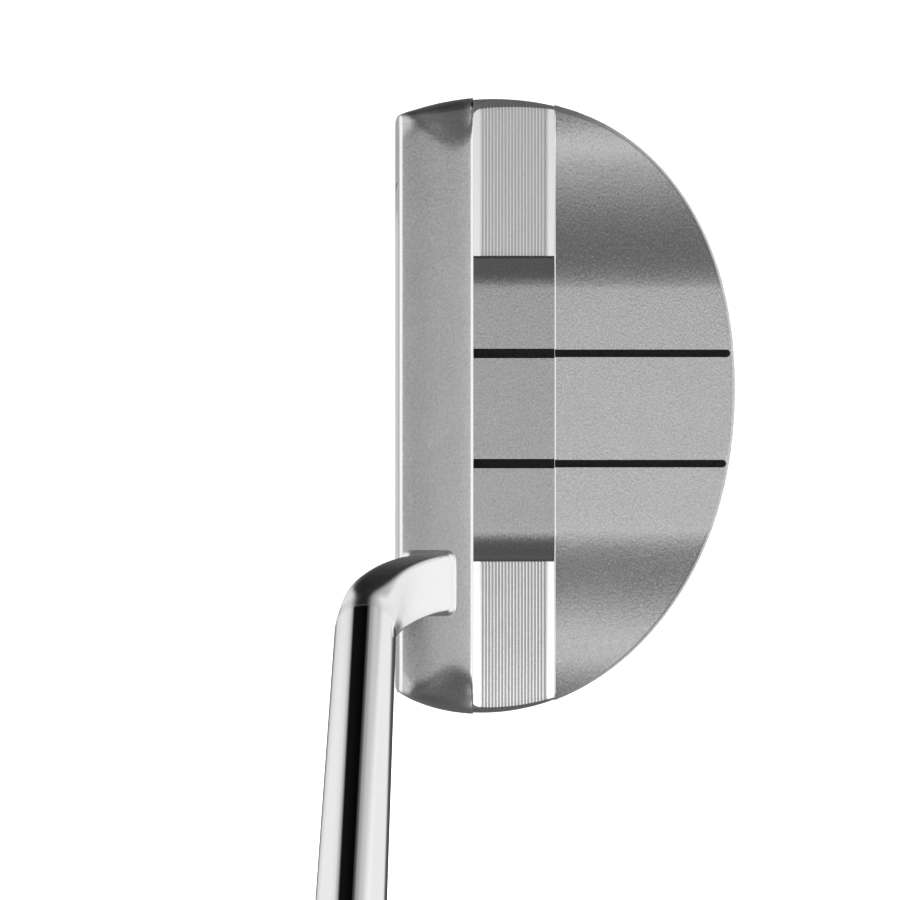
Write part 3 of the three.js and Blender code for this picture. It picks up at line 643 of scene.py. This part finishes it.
def channel_rows():
    """All rows of the channel floor: borders, and three rows to each groove; and the first groove's row."""
    middle = (CHANNEL_FRONT_Y + CHANNEL_REAR_Y) / 2
    first = middle - (GROOVE_COUNT - 1) * GROOVE_PITCH / 2
    near = [CHANNEL_FRONT_Y + step for step in PAD_BORDER_STEPS]
    rows = [channel_row(y) for y in near if y < first - GROOVE_WIDTH]
    first_row = len(rows)
    for groove in range(GROOVE_COUNT):
        y = first + groove * GROOVE_PITCH
        rows.append(channel_row(y - GROOVE_WIDTH / 2))
        rows.append(channel_row(y, GROOVE_DEPTH))
        rows.append(channel_row(y + GROOVE_WIDTH / 2))
    rows.append(channel_row((y + CHANNEL_REAR_Y) / 2))
    rows.append(channel_row(CHANNEL_REAR_Y))
    return rows, first_row


def flange_stations():
    """From toe to heel, each column's x, its outline point, its edge point and its direction outwards."""
    paths = []
    for side in (TOE, HEEL):
        curve = CURVES[side][CURVES[side][:, 1] > CHANNEL_REAR_Y]
        start = np.array([[outline_x(side, CHANNEL_REAR_Y), CHANNEL_REAR_Y]])
        paths.append(np.vstack([start, curve]))
    outline = np.vstack([paths[0], paths[1][-2::-1]])
    away = outline - np.array([0, CHANNEL_REAR_Y])
    away /= np.linalg.norm(away, axis=1)[:, None]
    inset = np.array([flange_inset(x) for x in outline[:, 0]])[:, None]
    edge = outline - away * inset
    columns = full_columns(edge[0, 0], edge[-1, 0])
    picked = []
    for values in (outline, edge, away):
        picked.append(np.stack([np.interp(columns, edge[:, 0], values[:, k]) for k in (0, 1)], axis=1))
    return columns, *picked


def flange_rows(columns, edge):
    """The flange's top from its chamfered front edge to its rear edge."""
    heights = [flange_z(x) for x in columns]
    chamfer = np.minimum(FLANGE_CHAMFER, FLANGE_CHAMFER_SHARE * (edge[:, 1] - CHANNEL_REAR_Y))
    front = CHANNEL_REAR_Y + chamfer
    rows = []
    for share in (0, 0.5, 1):
        y = CHANNEL_REAR_Y + chamfer * share
        drop = FLANGE_CHAMFER_DROP * (1 - share) ** 2
        rows.append([(x, y[i], heights[i] - drop) for i, x in enumerate(columns)])
    for share in [*np.linspace(0, 1, 15)[1:-1], 0.985, 1]:
        y = front + (edge[:, 1] - front) * share
        rows.append([(x, y[i], heights[i]) for i, x in enumerate(columns)])
    return rows


def rolled(ring):
    """The rings from the largest outline down and in to the middle of the sole."""
    rings = [ring]
    front_y = face_y(BASE_Z)
    for step in range(1, ROLL_STEPS + 1):
        angle = pi / 2 * (1 - step / ROLL_STEPS)
        scale = 1 - SOLE_SHARE * (1 - sin(angle))
        z = BASE_Z * (1 - cos(angle))
        made = []
        for x, y, _ in ring:
            near_face = smoothstep(ROLL_FRONT_Y, front_y, y)
            full_y = y - (front_y - OUTLINE_FRONT_Y) * near_face
            new_y = SOLE_CENTRE_Y + (full_y - SOLE_CENTRE_Y) * scale
            new_y = max(new_y, face_y(z)) if near_face > 0 else new_y
            made.append((x * scale, new_y, max(z, relief_z(new_y))))
        rings.append(made)
    for scale in SOLE_SCALES:
        made = []
        for x, y, _ in rings[ROLL_STEPS]:
            new_y = SOLE_CENTRE_Y + (y - SOLE_CENTRE_Y) * scale
            made.append((x * scale, new_y, relief_z(new_y)))
        rings.append(made)
    return rings


def behind_face(y):
    """The share of the way from the face's top edge to the channel."""
    front = face_y(FACE_TOP_Z)
    return (y - front) / (CHANNEL_FRONT_Y - front)


def topline_grid(profile, channel_front):
    """The topline: the channel's front row of columns, scaled to the outline at each y."""
    columns = np.array([point[0] for point in channel_front])
    ends = {side: outline_x(side, CHANNEL_FRONT_Y) for side in (TOE, HEEL)}

    def lowered(column, y, z):
        """What the shoulder lowers keeps to the lofted face."""
        side = HEEL if column > 0 else TOE
        drop = shoulder_drop(column * outline_x(side, y) / ends[side], y)
        low_y = y - drop * tan(LOFT) * (1 - behind_face(y))
        return (column * outline_x(side, low_y) / ends[side], low_y, z - drop)

    return [[lowered(column, y, z) for column in columns] for y, z in profile]


def wall_rows(top_row, bottom_row):
    """Rows from one row of points straight to another."""
    rows = []
    for share in WALL_SHARES:
        rows.append([tuple(a + (b - a) * share for a, b in zip(*pair)) for pair in zip(top_row, bottom_row)])
    return rows


def channel_zones(front_row, first_groove):
    """The channel's finish by row and column: the pads are cut bright, the bar and the edges are not; the bar
    and the grooves are darker steel, painted shade.
    """
    width = len(front_row)

    def zone(row, column):
        middle = (front_row[column][0] + front_row[column + 1][0]) / 2
        if column < EDGE_STEPS or column >= width - EDGE_STEPS - 1:
            return ZONE_BLASTED
        if abs(middle) < BAR_END_X - 0.01:
            return ZONE_BAR
        in_groove = 0 <= row - first_groove < 3 * GROOVE_COUNT and (row - first_groove) % 3 < 2
        return ZONE_GROOVE if in_groove else ZONE_BRIGHT

    return zone


def flange_side_rows(outline, edge, away, rear_row):
    """The rounded edge and the side below each of the flange's columns."""
    sides = []
    for i, (_, _, top) in enumerate(rear_row):
        inset = float(np.linalg.norm(outline[i] - edge[i]))
        sides.append([(*(outline[i] - away[i] * inside), z) for inside, z in edge_levels(inset, top)])
    for i in (0, -1):
        sides[i] = [(x, CHANNEL_REAR_Y, z) for x, _, z in sides[i]]
    return sides


def face_rows(top_row):
    """The lofted face, from the topline's front row down to the largest outline."""
    rows = [top_row]
    for share in WALL_SHARES[1:]:
        row = []
        for x, _, top in top_row:
            z = top + (BASE_Z - top) * share
            y = face_y(z)
            reach = x / top_row[-1 if x > 0 else 0][0]
            row.append((reach * outline_x(HEEL if x > 0 else TOE, y), y, z))
        rows.append(row)
    return rows


def end_columns(side, topline, profile):
    """The side below one end of the topline: a column of points down from each of its rows."""
    columns = []
    for row, (row_y, _) in zip(topline, profile):
        top = row[-1 if side == HEEL else 0]
        column = [top]
        for share in WALL_SHARES[1:]:
            z = top[2] + (BASE_Z - top[2]) * share
            y = face_y(z) + behind_face(row_y) * (CHANNEL_FRONT_Y - face_y(z))
            column.append((outline_x(side, y), y, z))
        columns.append(column)
    return columns


def head_skin():
    """The head's whole surface, before its pockets are cut."""
    skin = Skin()
    profile = topline_rows()
    channel, first_groove = channel_rows()
    topline = topline_grid(profile, channel[0])
    edge_rows, last = TOPLINE_EDGE_POINTS - 1, len(topline) - 1
    skin.grid(topline, lambda row, _: ZONE_BLASTED if edge_rows <= row < last - edge_rows else ZONE_BRIGHT)
    skin.grid(wall_rows(topline[-1], channel[0]), ZONE_BLASTED)
    skin.grid(channel, channel_zones(channel[0], first_groove))

    # Flange, its sides, and the step up to it.
    columns, outline, edge, away = flange_stations()
    flange = flange_rows(columns, edge)
    skin.grid(flange, lambda row, _: ZONE_BRIGHT if row < 2 else ZONE_MILLED)
    flange_sides = flange_side_rows(outline, edge, away, flange[-1])
    skin.grid(flange_sides, ZONE_BLASTED)
    front_row = flange_sides[0][:0:-1] + flange[0] + flange_sides[-1][1:]
    skin.grid([channel[-1], front_row], ZONE_BLASTED)

    # Face, and the sides below the topline's ends.
    face = face_rows(topline[0])
    skin.grid(face, ZONE_BLASTED)
    sides = {side: end_columns(side, topline, profile) for side in (TOE, HEEL)}
    for side in (TOE, HEEL):
        skin.grid(sides[side], ZONE_BLASTED)

    # The largest outline as one ring, then the roll under and the sole.
    ring = [*face[-1]]
    ring += [column[-1] for column in sides[HEEL][1:]]
    ring += [row[-1] for row in channel[1:]]
    ring += [side[-1] for side in flange_sides[-2::-1]]
    ring += [row[0] for row in channel[-2::-1]]
    ring += [column[-1] for column in sides[TOE][-2:0:-1]]
    rings = rolled(ring)
    skin.grid(rings, ZONE_BLASTED, closed=True)
    skin.cap(rings[-1], ZONE_BLASTED)
    return skin


# ---- pockets and small solids ----


def prism(outline, low, high, zone=0, crown=0.0, inset=0.0):
    """An outline of (x, y) raised from low to high, with an optional raised or sunken middle."""
    skin = Skin()
    low_corner, high_corner = np.min(outline, axis=0), np.max(outline, axis=0)
    centre, half = (low_corner + high_corner) / 2, (high_corner - low_corner) / 2
    bottom = [(x, y, low) for x, y in outline]
    top = [(x, y, high) for x, y in outline]
    rows = [bottom, top]
    if inset:
        moved = centre + (np.array(outline) - centre) * (1 - inset / half)
        rows.append([(float(x), float(y), high + crown) for x, y in moved])
    skin.grid(rows, zone, closed=True)
    skin.cap(bottom, zone)
    skin.cap(rows[-1], zone)
    return skin


def strip_outline(x, width, front, rear, round_rear):
    """A strip along y, with a half-round rear end for a line's rear part."""
    half = width / 2
    points = [(x + half, front), (x - half, front)]
    if not round_rear:
        return [*points, (x - half, rear), (x + half, rear)]
    return [*points, *arc(x, rear - half, half, pi, -pi, 16)]


def circle(x, y, radius, sides=64):
    """Points round a circle, without a second point at its start."""
    return arc(x, y, radius, 0, 2 * pi, sides)[:-1]


def line_parts():
    """Each alignment line's parts: end name, part name, x, width, front, rear, surface height, round end."""
    for side, end in ((TOE, "toe"), (HEEL, "heel")):
        x = side * LINE_X
        yield end, "front", x, FRONT_LINE_WIDTH, CHANNEL_FRONT_Y, CHANNEL_REAR_Y, BAR_Z, False
        yield end, "rear", x, REAR_LINE_WIDTH, CHANNEL_REAR_Y, LINE_REAR_Y[end], FLANGE_Z, True


FACE_MATRIX = (
    Matrix.Translation((0, face_y(INSERT_Z), INSERT_Z))
    @ Matrix.Rotation(-LOFT, 4, "X")
    @ Matrix.Rotation(pi / 2, 4, "X")
)


def stadium():
    """The outline of the insert's pocket, drawn in its own plane."""
    straight = INSERT_HALF_LENGTH - INSERT_RADIUS
    right = arc(straight, 0, INSERT_RADIUS, -pi / 2, pi, 24)
    return [*right, *arc(-straight, 0, INSERT_RADIUS, pi / 2, pi, 24)]


# How far the cutters reach past the surface they open.
FACE_OVERCUT = 2
SOLE_OVERCUT = 1
LINE_OVERCUT = 1.2
SPIGOT_CUTTER_TOP_Z = 30
LINE_SEAM = 0.01  # keeps a line's two cutters from sharing a face


def cutter(outline, low, high, finishes, matrix=None):
    """A solid to be taken out of the head, which leaves a milled finish."""
    return prism(outline, low, high, ZONE_MILLED).build("cutter", finishes, matrix)


def head():
    """The milled steel head with its pockets and grooves."""
    finishes = [BLASTED, MILLED, BRIGHT, BAR_STEEL_PAINTED_SHADE, GROOVE_STEEL_PAINTED_SHADE]
    body = head_skin().build("putter_head", finishes)
    spigot_hole = circle(*SPIGOT, SPIGOT_HOLE_RADIUS, 32)
    cutters = [
        cutter(stadium(), -POCKET_DEPTH, FACE_OVERCUT, finishes, FACE_MATRIX),
        cutter(spigot_hole, SPIGOT_HOLE_Z, SPIGOT_CUTTER_TOP_Z, finishes),
    ]
    for side in (TOE, HEEL):
        pocket = circle(side * WEIGHT_X, WEIGHT_Y, WEIGHT_POCKET_RADIUS)
        cutters.append(cutter(pocket, -SOLE_OVERCUT, WEIGHT_POCKET_DEPTH, finishes))
    for end, part, x, width, front, rear, top, round_rear in line_parts():
        reach = LINE_SEAM if part == "front" else 0
        outline = strip_outline(x, width, front + reach, rear + reach, round_rear)
        cutters.append(cutter(outline, top - LINE_DEPTH, top + LINE_OVERCUT, finishes))
    return smooth(cut(body, cutters))


declare(head(), "head_steel", "head_body")


def line_paint():
    """The paint in the four line grooves, a little sunk in the middle as it dries."""
    for end, part, x, width, front, rear, top, round_rear in line_parts():
        low = top - LINE_DEPTH + PAINT_GAP
        outline = strip_outline(x, width - 2 * PAINT_GAP, front + PAINT_GAP, rear - PAINT_GAP, round_rear)
        skin = prism(outline, low, low + PAINT_THICKNESS, crown=-PAINT_DIP, inset=PAINT_DIP_INSET)
        name = f"{end}_{part}"
        finished(skin, f"line_paint_{name}", LINE_PAINT, 60, "line_paint", f"line_fill_{name}")


line_paint()


def insert_levels(radius):
    """The insert's rows from bottom to top, as (height in its own plane, depth cut)."""
    wide, narrow = INSERT_GROOVE_HALF_WIDTHS
    count = int(2 * (radius - INSERT_BORDER) / INSERT_GROOVE_PITCH)
    first = -(count - 1) * INSERT_GROOVE_PITCH / 2
    levels = [(-radius, 0), (-radius + INSERT_EDGE, 0)]
    for groove in range(count):
        middle = first + groove * INSERT_GROOVE_PITCH
        levels += [(middle - wide, 0), (middle - narrow, INSERT_GROOVE_DEPTH)]
        levels += [(middle + narrow, INSERT_GROOVE_DEPTH), (middle + wide, 0)]
    levels += [(radius - INSERT_EDGE, 0), (radius, 0)]
    return levels


def insert_row(v, sunk, radius):
    """One row across the insert's front, plain and bevelled at its ends, and the same row on its back."""
    half = INSERT_HALF_LENGTH - INSERT_RADIUS + sqrt(max(radius**2 - v**2, 0))
    xs = [-half, *(np.linspace(-1, 1, 25) * (half - INSERT_BORDER)), half]
    border = abs(v) > radius - 0.01
    last = len(xs) - 1
    front = []
    for i, x in enumerate(xs):
        at_edge = border or i in (0, last)
        groove = 0 if i in (0, 1, last - 1, last) else sunk
        front.append((x, v, -INSERT_EDGE if at_edge else -INSERT_RECESS - groove))
    return front, [(x, v, -INSERT_THICKNESS) for x in xs]


def face_insert():
    """The insert: a stadium plate with fine grooves milled along it."""
    radius = INSERT_RADIUS - INSERT_GAP
    front, back = zip(*(insert_row(v, sunk, radius) for v, sunk in insert_levels(radius)))
    skin = Skin()
    skin.grid(front)
    skin.grid(back)
    skin.grid([front[0], back[0]])
    skin.grid([front[-1], back[-1]])
    for i in (0, -1):
        skin.grid([[row[i] for row in front], [row[i] for row in back]])
    finished(skin, "milled_face_insert", INSERT_METAL, 25, "insert_aluminium", "face_insert", FACE_MATRIX)


face_insert()


def turned_rings(rows, sides, shape=None):
    """Rings about z from (radius, z) rows; shape may turn a radius into one that depends on the angle."""
    rings = []
    for index, (radius, z) in enumerate(rows):
        ring = []
        for i in range(sides):
            angle = 2 * pi * i / sides
            reach = shape(index, radius, angle) if shape else radius
            ring.append((reach * cos(angle), reach * sin(angle), z))
        rings.append(ring)
    return rings


def weight_rows():
    """The weight's profile as (radius, z), from the middle of its socket out and round to its top."""
    axis = 0.01
    rim = WEIGHT_RADIUS - WEIGHT_CHAMFER
    rows = [(axis, SOCKET_CENTRE_Z), (SOCKET_RADIUS, SOCKET_TOP_Z), (SOCKET_RADIUS, SOCKET_MOUTH_Z)]
    rows.append((SOCKET_RADIUS + SOCKET_LEAD_IN, WEIGHT_RECESS))
    rows += [(radius, WEIGHT_RECESS + depth) for radius, depth in WEIGHT_RING]
    rows += [(rim, WEIGHT_RECESS), (WEIGHT_RADIUS, WEIGHT_RECESS + WEIGHT_CHAMFER)]
    rows += [(WEIGHT_RADIUS, WEIGHT_TOP - WEIGHT_CHAMFER), (rim, WEIGHT_TOP), (axis, WEIGHT_TOP)]
    return rows


def sole_weight(side, end):
    """A turned steel weight with a hexagonal drive socket and a ring cut in its face."""
    hexagonal_rows = (1, 2, 3)
    sixth = pi / 3

    def hexagonal(index, radius, angle):
        if index not in hexagonal_rows:
            return radius
        return radius * cos(sixth / 2) / cos(angle % sixth - sixth / 2)

    skin = Skin()
    rings = turned_rings(weight_rows(), 96, hexagonal)
    skin.grid(rings, closed=True)
    skin.cap(rings[0])
    skin.cap(rings[-1])
    place = Matrix.Translation((side * WEIGHT_X, WEIGHT_Y, 0))
    name = f"turned_weight_{end}"
    finished(skin, name, WEIGHT_STEEL, 25, "weight_steel", f"sole_weight_{end}", place)


sole_weight(TOE, "toe")
sole_weight(HEEL, "heel")


# ---- neck ----


def neck_centre(share):
    """A point on the curve up the middle of the neck."""
    curve = (NECK_FOOT, NECK_FOOT_HANDLE, NECK_TOP_HANDLE, NECK_TOP)
    return sum((weight * point for weight, point in zip(cubic_weights(share), curve)), Vector())


def ring_angles(sides):
    """The angles of a ring's points, half a step off the axes."""
    return [2 * pi * (i + 0.5) / sides for i in range(sides)]


def neck_ring(share, margin=0.0):
    """One ring: a rounded rectangle at the foot that turns into the shaft's circle at the top."""
    centre = neck_centre(share)
    to_round = smoothstep(*NECK_ROUNDING, share)
    tilt = LEAN * smoothstep(*NECK_TILTING, share)
    across = Vector((cos(tilt), 0, -sin(tilt)))
    power = NECK_CORNER_POWER + (2 - NECK_CORNER_POWER) * to_round
    half_width = NECK_HALF_WIDTH + (TIP_RADIUS - NECK_HALF_WIDTH) * to_round + margin
    half_depth = NECK_HALF_DEPTH + (TIP_RADIUS - NECK_HALF_DEPTH) * to_round + margin
    ring = []
    for angle in ring_angles(NECK_SIDES):
        c, s = cos(angle), sin(angle)
        size = (abs(c) ** power + abs(s) ** power) ** (-1 / power)
        point = centre + across * (half_width * size * c)
        point.y += half_depth * size * s
        ring.append(tuple(point))
    return ring


def neck_fillet():
    """Rings that curve in from the topline to the neck's first section."""
    steps = 5
    foot = neck_ring(NECK_START)
    wide = neck_ring(NECK_START, NECK_FILLET)
    rings = []
    for step in range(steps + 1):
        angle = pi / 2 * step / steps
        share = 1 - sin(angle)
        rise = HEAD_TO_NECK_GAP + NECK_FILLET * (1 - cos(angle))
        ring = []
        for (x0, y0, _), (x1, y1, _) in zip(foot, wide):
            x, y = x0 + (x1 - x0) * share, y0 + (y1 - y0) * share
            ring.append((x, y, topline_z(x, y) + rise))
        rings.append(ring)
    return rings


def post_rings():
    """The bottom and top rings of the post that the shaft slips over."""
    across = Vector((cos(LEAN), 0, -sin(LEAN)))
    rings = []
    for length in (SHAFT_START, SHAFT_START + POST_LENGTH):
        centre = SHAFT_FOOT + SHAFT_DIRECTION * length
        ring = []
        for angle in ring_angles(NECK_SIDES):
            offset = across * (POST_RADIUS * cos(angle)) + Vector((0, POST_RADIUS * sin(angle), 0))
            ring.append(tuple(centre + offset))
        rings.append(ring)
    return rings


def spigot_rings():
    """The top and bottom rings of the spigot in the head."""
    top, bottom = [], []
    for angle in ring_angles(NECK_SIDES):
        x = SPIGOT[0] + SPIGOT_RADIUS * cos(angle)
        y = SPIGOT[1] + SPIGOT_RADIUS * sin(angle)
        top.append((x, y, topline_z(x, y) + HEAD_TO_NECK_GAP))
        bottom.append((x, y, SPIGOT_BOTTOM_Z))
    return top, bottom


def neck():
    """The curved neck, with a fillet where it meets the topline, its spigot and the post for the shaft."""
    skin = Skin()
    arm = [neck_ring(float(share)) for share in np.linspace(NECK_ARM_START, 1, 46)]
    rings = [*neck_fillet(), *arm, *post_rings()]
    skin.grid(rings, closed=True)
    skin.cap(rings[-1])
    spigot = spigot_rings()
    skin.grid([rings[0], *spigot], closed=True)
    skin.cap(spigot[1])
    finished(skin, "curved_neck", NECK_STEEL, 35, "neck_steel", "neck")


neck()


# ---- shaft and grip ----

ALONG_SHAFT = Matrix.Translation(SHAFT_FOOT) @ Matrix.Rotation(LEAN, 4, "Y")


def shaft():
    """A chromed steel tube that grows in steps, open at both ends."""
    growth = (BUTT_RADIUS - TIP_RADIUS) / STEP_COUNT
    end = PUTTER_LENGTH - CAP_THICKNESS
    bevel = 0.12
    outer = [(TIP_RADIUS - bevel, SHAFT_START), (TIP_RADIUS, SHAFT_START + bevel)]
    for step in range(STEP_COUNT):
        z = PARALLEL_END + step * STEP_LENGTH
        for share in np.linspace(0, 1, 7):
            radius = TIP_RADIUS + (step + smoothstep(0, 1, share)) * growth
            outer.append((radius, z + share * STEP_RAMP))
    outer.append((BUTT_RADIUS, end))
    inner = [(radius - SHAFT_WALL, z) for radius, z in outer][::-1]
    skin = Skin()
    skin.grid(turned_rings([*outer, *inner, outer[0]], 96), closed=True)
    finished(skin, "stepped_shaft", CHROME, 30, "shaft_chrome", "shaft", ALONG_SHAFT)


shaft()

# Share of the grip's length, depth in front of the axis, depth behind it, half width, front's flatness.
GRIP_SECTIONS = [
    (0, 9.4, 9.4, 9.4, 0),
    (0.015, 10.2, 10.2, 10.4, 0.1),
    (0.12, 10.4, 10.6, 11.2, 0.6),
    (0.3, 10.6, 11.4, 12, 0.9),
    (0.5, 10.8, 12.4, 12.7, 1),
    (0.68, 11, 13.6, 13.1, 1),
    (0.8, 11.2, 15.6, 13.3, 1),
    (0.9, 11.4, 18, 13.4, 1),
    (0.96, 11.5, 18.8, 13.4, 1),
    (0.988, 11.3, 18.4, 13.1, 1),
    (1, 10.2, 17, 12, 0.9),
]


def grip_section(share):
    """The section at a share of the grip's length, in straight lines between the listed ones."""
    table = np.array(GRIP_SECTIONS)
    return [float(np.interp(share, table[:, 0], table[:, k])) for k in range(1, 5)]


def grip_relief(z, angle, share):
    """How far the rubber's pattern is sunk: rows of short slots round the back, a ribbed strip in front."""
    if not PATTERN_RISE[0] < share < PATTERN_FALL[1]:
        return 0
    fade = smoothstep(*PATTERN_RISE, share) * (1 - smoothstep(*PATTERN_FALL, share))
    facing = cos(angle)
    in_front = facing < GRIP_FRONT
    pitch = RIB_PITCH if in_front else SLOT_PITCH
    row = z / pitch
    along = abs(row - round(row)) * pitch
    if in_front:
        inside = smoothstep(GRIP_FRONT, GRIP_FRONT_FULL, facing)
        return RIB_DEPTH * fade * inside * (1 - smoothstep(*RIB_HALF_WIDTHS, along))
    turn = angle / (2 * pi) * SLOTS_AROUND + 0.5 * (round(row) % 2)
    around = abs(turn - round(turn))
    back = smoothstep(*GRIP_BACK, facing)
    slot = (1 - smoothstep(*SLOT_HALF_WIDTHS, along)) * (1 - smoothstep(*SLOT_SHARES, around))
    return SLOT_DEPTH * fade * back * slot


def grip_ring(share, sides):
    """One ring of the grip's outside: squared off in front, round behind, with the pattern sunk in."""
    front, back, half_width, flatness = grip_section(share)
    z = GRIP_START + share * (PUTTER_LENGTH - GRIP_START)
    ring = []
    for angle in ring_angles(sides):
        c, s = cos(angle), sin(angle)
        power = 2 + 3 * flatness if c < 0 else 2
        size = (abs(c) ** power + abs(s) ** power) ** (-1 / power)
        sink = 1 - grip_relief(z, angle, share) / GRIP_MEAN_RADIUS
        ring.append(((front if c < 0 else back) * size * c * sink, half_width * size * s * sink, z))
    return ring


def grip():
    """A flat-fronted rubber pistol grip with a moulded pattern and a vent in its cap."""
    sides = 168
    shares = [0, 0.004, 0.015, 0.03, *np.linspace(0.045, 0.935, 470), 0.95, 0.965, 0.98, 0.988, 0.995, 1]
    outside = [grip_ring(share, sides) for share in shares]
    bore_top = PUTTER_LENGTH - CAP_THICKNESS + CAP_CLEARANCE
    rows = [(radius, PUTTER_LENGTH + height) for radius, height in VENT_ROWS]
    rows += [(VENT_ROWS[-1][0], bore_top), (GRIP_BORE_RADIUS, bore_top), (GRIP_BORE_RADIUS, GRIP_START)]
    skin = Skin()
    skin.grid([*outside, *turned_rings(rows, sides), outside[0]], closed=True)
    finished(skin, "rubber_grip", GRIP_RUBBER, 50, "grip_rubber", "grip", ALONG_SHAFT)


grip()


# ---- hidden pieces keep their shape and get their finish ----

HIDDEN_FINISHES = {
    "insert_bond_pad": (BOND_RUBBER, "bond_pad"),
    "weight_washer_toe": (NYLON, "washer_nylon"),
    "weight_washer_heel": (NYLON, "washer_nylon"),
    "shaft_bond_sleeve": (EPOXY, "epoxy"),
    "grip_tape": (TAPE, "tape"),
}
for node, (finish, slot) in HIDDEN_FINISHES.items():
    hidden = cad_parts[node]
    hidden.data.materials.clear()
    hidden.data.materials.append(finish)
    hidden.visible_glossy = False


# ---- stage, light and camera ----

FLOOR_HALF = 1.8  # metres; small enough to end before it darkens


def floor():
    """A plain white floor; the steel mirrors the studio instead of it."""
    mesh = bpy.data.meshes.new("floor")
    corners = [(x * FLOOR_HALF, y * FLOOR_HALF, 0) for x, y in ((-1, -1), (1, -1), (1, 1), (-1, 1))]
    mesh.from_pydata(corners, [], [(0, 1, 2, 3)])
    material, tree, shader = new_material("white_floor")
    shader.inputs["Base Color"].default_value = (0.95, 0.95, 0.95, 1)
    shader.inputs["Roughness"].default_value = 0.9
    shader.inputs["Specular IOR Level"].default_value = 0.1
    mesh.materials.append(material)
    made = linked("floor", mesh)
    made.visible_glossy = False


floor()


def ramp(tree, value, stops):
    """A grey curve through (value, level) stops, for values from -1 to 1."""
    share = ranged(tree, value, 0, 1, -1, 1)
    node = tree.nodes.new("ShaderNodeValToRGB")
    node.color_ramp.interpolation = "EASE"
    elements = node.color_ramp.elements
    while len(elements) < len(stops):
        elements.new(0.5)
    for element, (place, level) in zip(elements, stops):
        element.position = (place + 1) / 2
        element.color = (level, level, level, 1)
    tree.links.new(share, node.inputs["Fac"])
    return node.outputs["Color"]


# The studio by direction: a long soft strip overhead that runs front to back, dark past the toe and the heel;
# how far white panels in front and behind take its place, by y; and then by y too, the levels round the
# horizon, below it, and below it on the toe side.
STRIP_ACROSS = [
    (-1, 0.14), (-0.3, 0.13), (-0.2, 0.16), (-0.14, 0.5), (-0.09, 0.82), (-0.05, 0.84),
    (0, 0.92), (0.03, 1.0), (0.055, 1.1), (0.085, 2.3), (0.115, 2.3), (0.15, 1.1),
    (0.2, 0.2), (0.5, 0.12), (1, 0.12),
]
STRIP_ALONG = [
    (-1, 0.9), (-0.4, 0.62), (-0.22, 0.5), (-0.09, 0.75), (0, 1.06), (0.07, 0.97),
    (0.18, 0.52), (0.3, 0.78), (0.45, 1.15), (1, 0.95),
]
PANELS = [(-1, 1), (-0.72, 1), (-0.6, 0.75), (-0.45, 0.06), (0.45, 0.06), (0.6, 0.75), (0.72, 1), (1, 1)]
SIDES = [(-1, 1), (-0.75, 1), (-0.6, 0.75), (-0.45, 0.18), (0.45, 0.18), (0.6, 0.75), (0.75, 1), (1, 1)]
BELOW = [
    (-1, 0.9), (-0.42, 0.85), (-0.33, 0.72), (-0.2, 0.2), (-0.1, 0.14), (0.2, 0.06),
    (0.28, 0.1), (0.37, 0.85), (1, 0.95),
]
TOE_FLAG = [
    (-1, 0.9), (-0.42, 0.85), (-0.36, 0.78), (-0.32, 0.5), (-0.26, 0.006), (0.03, 0.002),
    (0.08, 0.08), (0.14, 0.35), (0.25, 0.58), (0.4, 0.95), (1, 0.95),
]

# Where one part of the studio gives way to the next, by the direction's x or z.
TOE_FLAG_EDGE = (-0.58, -0.42)
BELOW_EDGE = (-0.62, -0.4)
ABOVE_EDGE = (-0.1, 0.25)
PANEL_LEVEL = 0.98


def studio():
    """The studio as the world's light; the camera sees only a plain pale backdrop."""
    world = bpy.data.worlds.new("studio")
    bpy.context.scene.world = world
    world.use_nodes = True
    tree = world.node_tree
    direction = tree.nodes.new("ShaderNodeTexCoord")
    split = tree.nodes.new("ShaderNodeSeparateXYZ")
    tree.links.new(direction.outputs["Generated"], split.inputs["Vector"])
    x, y, z = (split.outputs[axis] for axis in "XYZ")
    strip = mixed(tree, 1.0, ramp(tree, x, STRIP_ACROSS), ramp(tree, y, STRIP_ALONG), "MULTIPLY")
    above = mixed(tree, ramp(tree, y, PANELS), strip, (PANEL_LEVEL,) * 3)
    toe_side = ranged(tree, x, 1, 0, *TOE_FLAG_EDGE)
    below = mixed(tree, toe_side, ramp(tree, y, BELOW), ramp(tree, y, TOE_FLAG))
    level = mixed(tree, ranged(tree, z, 0, 1, *BELOW_EDGE), below, ramp(tree, y, SIDES))
    light = mixed(tree, ranged(tree, z, 0, 1, *ABOVE_EDGE), level, above)
    seen = tree.nodes.new("ShaderNodeLightPath")
    light = mixed(tree, seen.outputs["Is Camera Ray"], light, (1.0,) * 3)
    tree.links.new(light, tree.nodes["Background"].inputs["Color"])
    tree.nodes["Background"].inputs["Strength"].default_value = 1.0


studio()


def floor_light():
    """A broad soft light for the floor, the rubber and the paint, which the steel does not mirror."""
    light = bpy.data.lights.new("floor_light", "AREA")
    light.shape = "DISK"
    light.size = 2.4
    light.energy = 120
    lamp = linked("floor_light", light)
    lamp.location = (0.1, 0, 2.2)
    lamp.visible_glossy = False


floor_light()


def camera():
    """Straight above the head, with the toe at the top of the frame."""
    lens = bpy.data.cameras.new("overhead")
    lens.sensor_width = 36
    lens.lens = 157.4
    lens.clip_end = 100
    view = linked("overhead", lens)
    view.location = (0.0067, -0.0184, 0.646)
    view.rotation_euler = (0, 0, pi / 2)
    bpy.context.scene.camera = view


camera()
bpy.context.scene.view_settings.view_transform = "Standard"
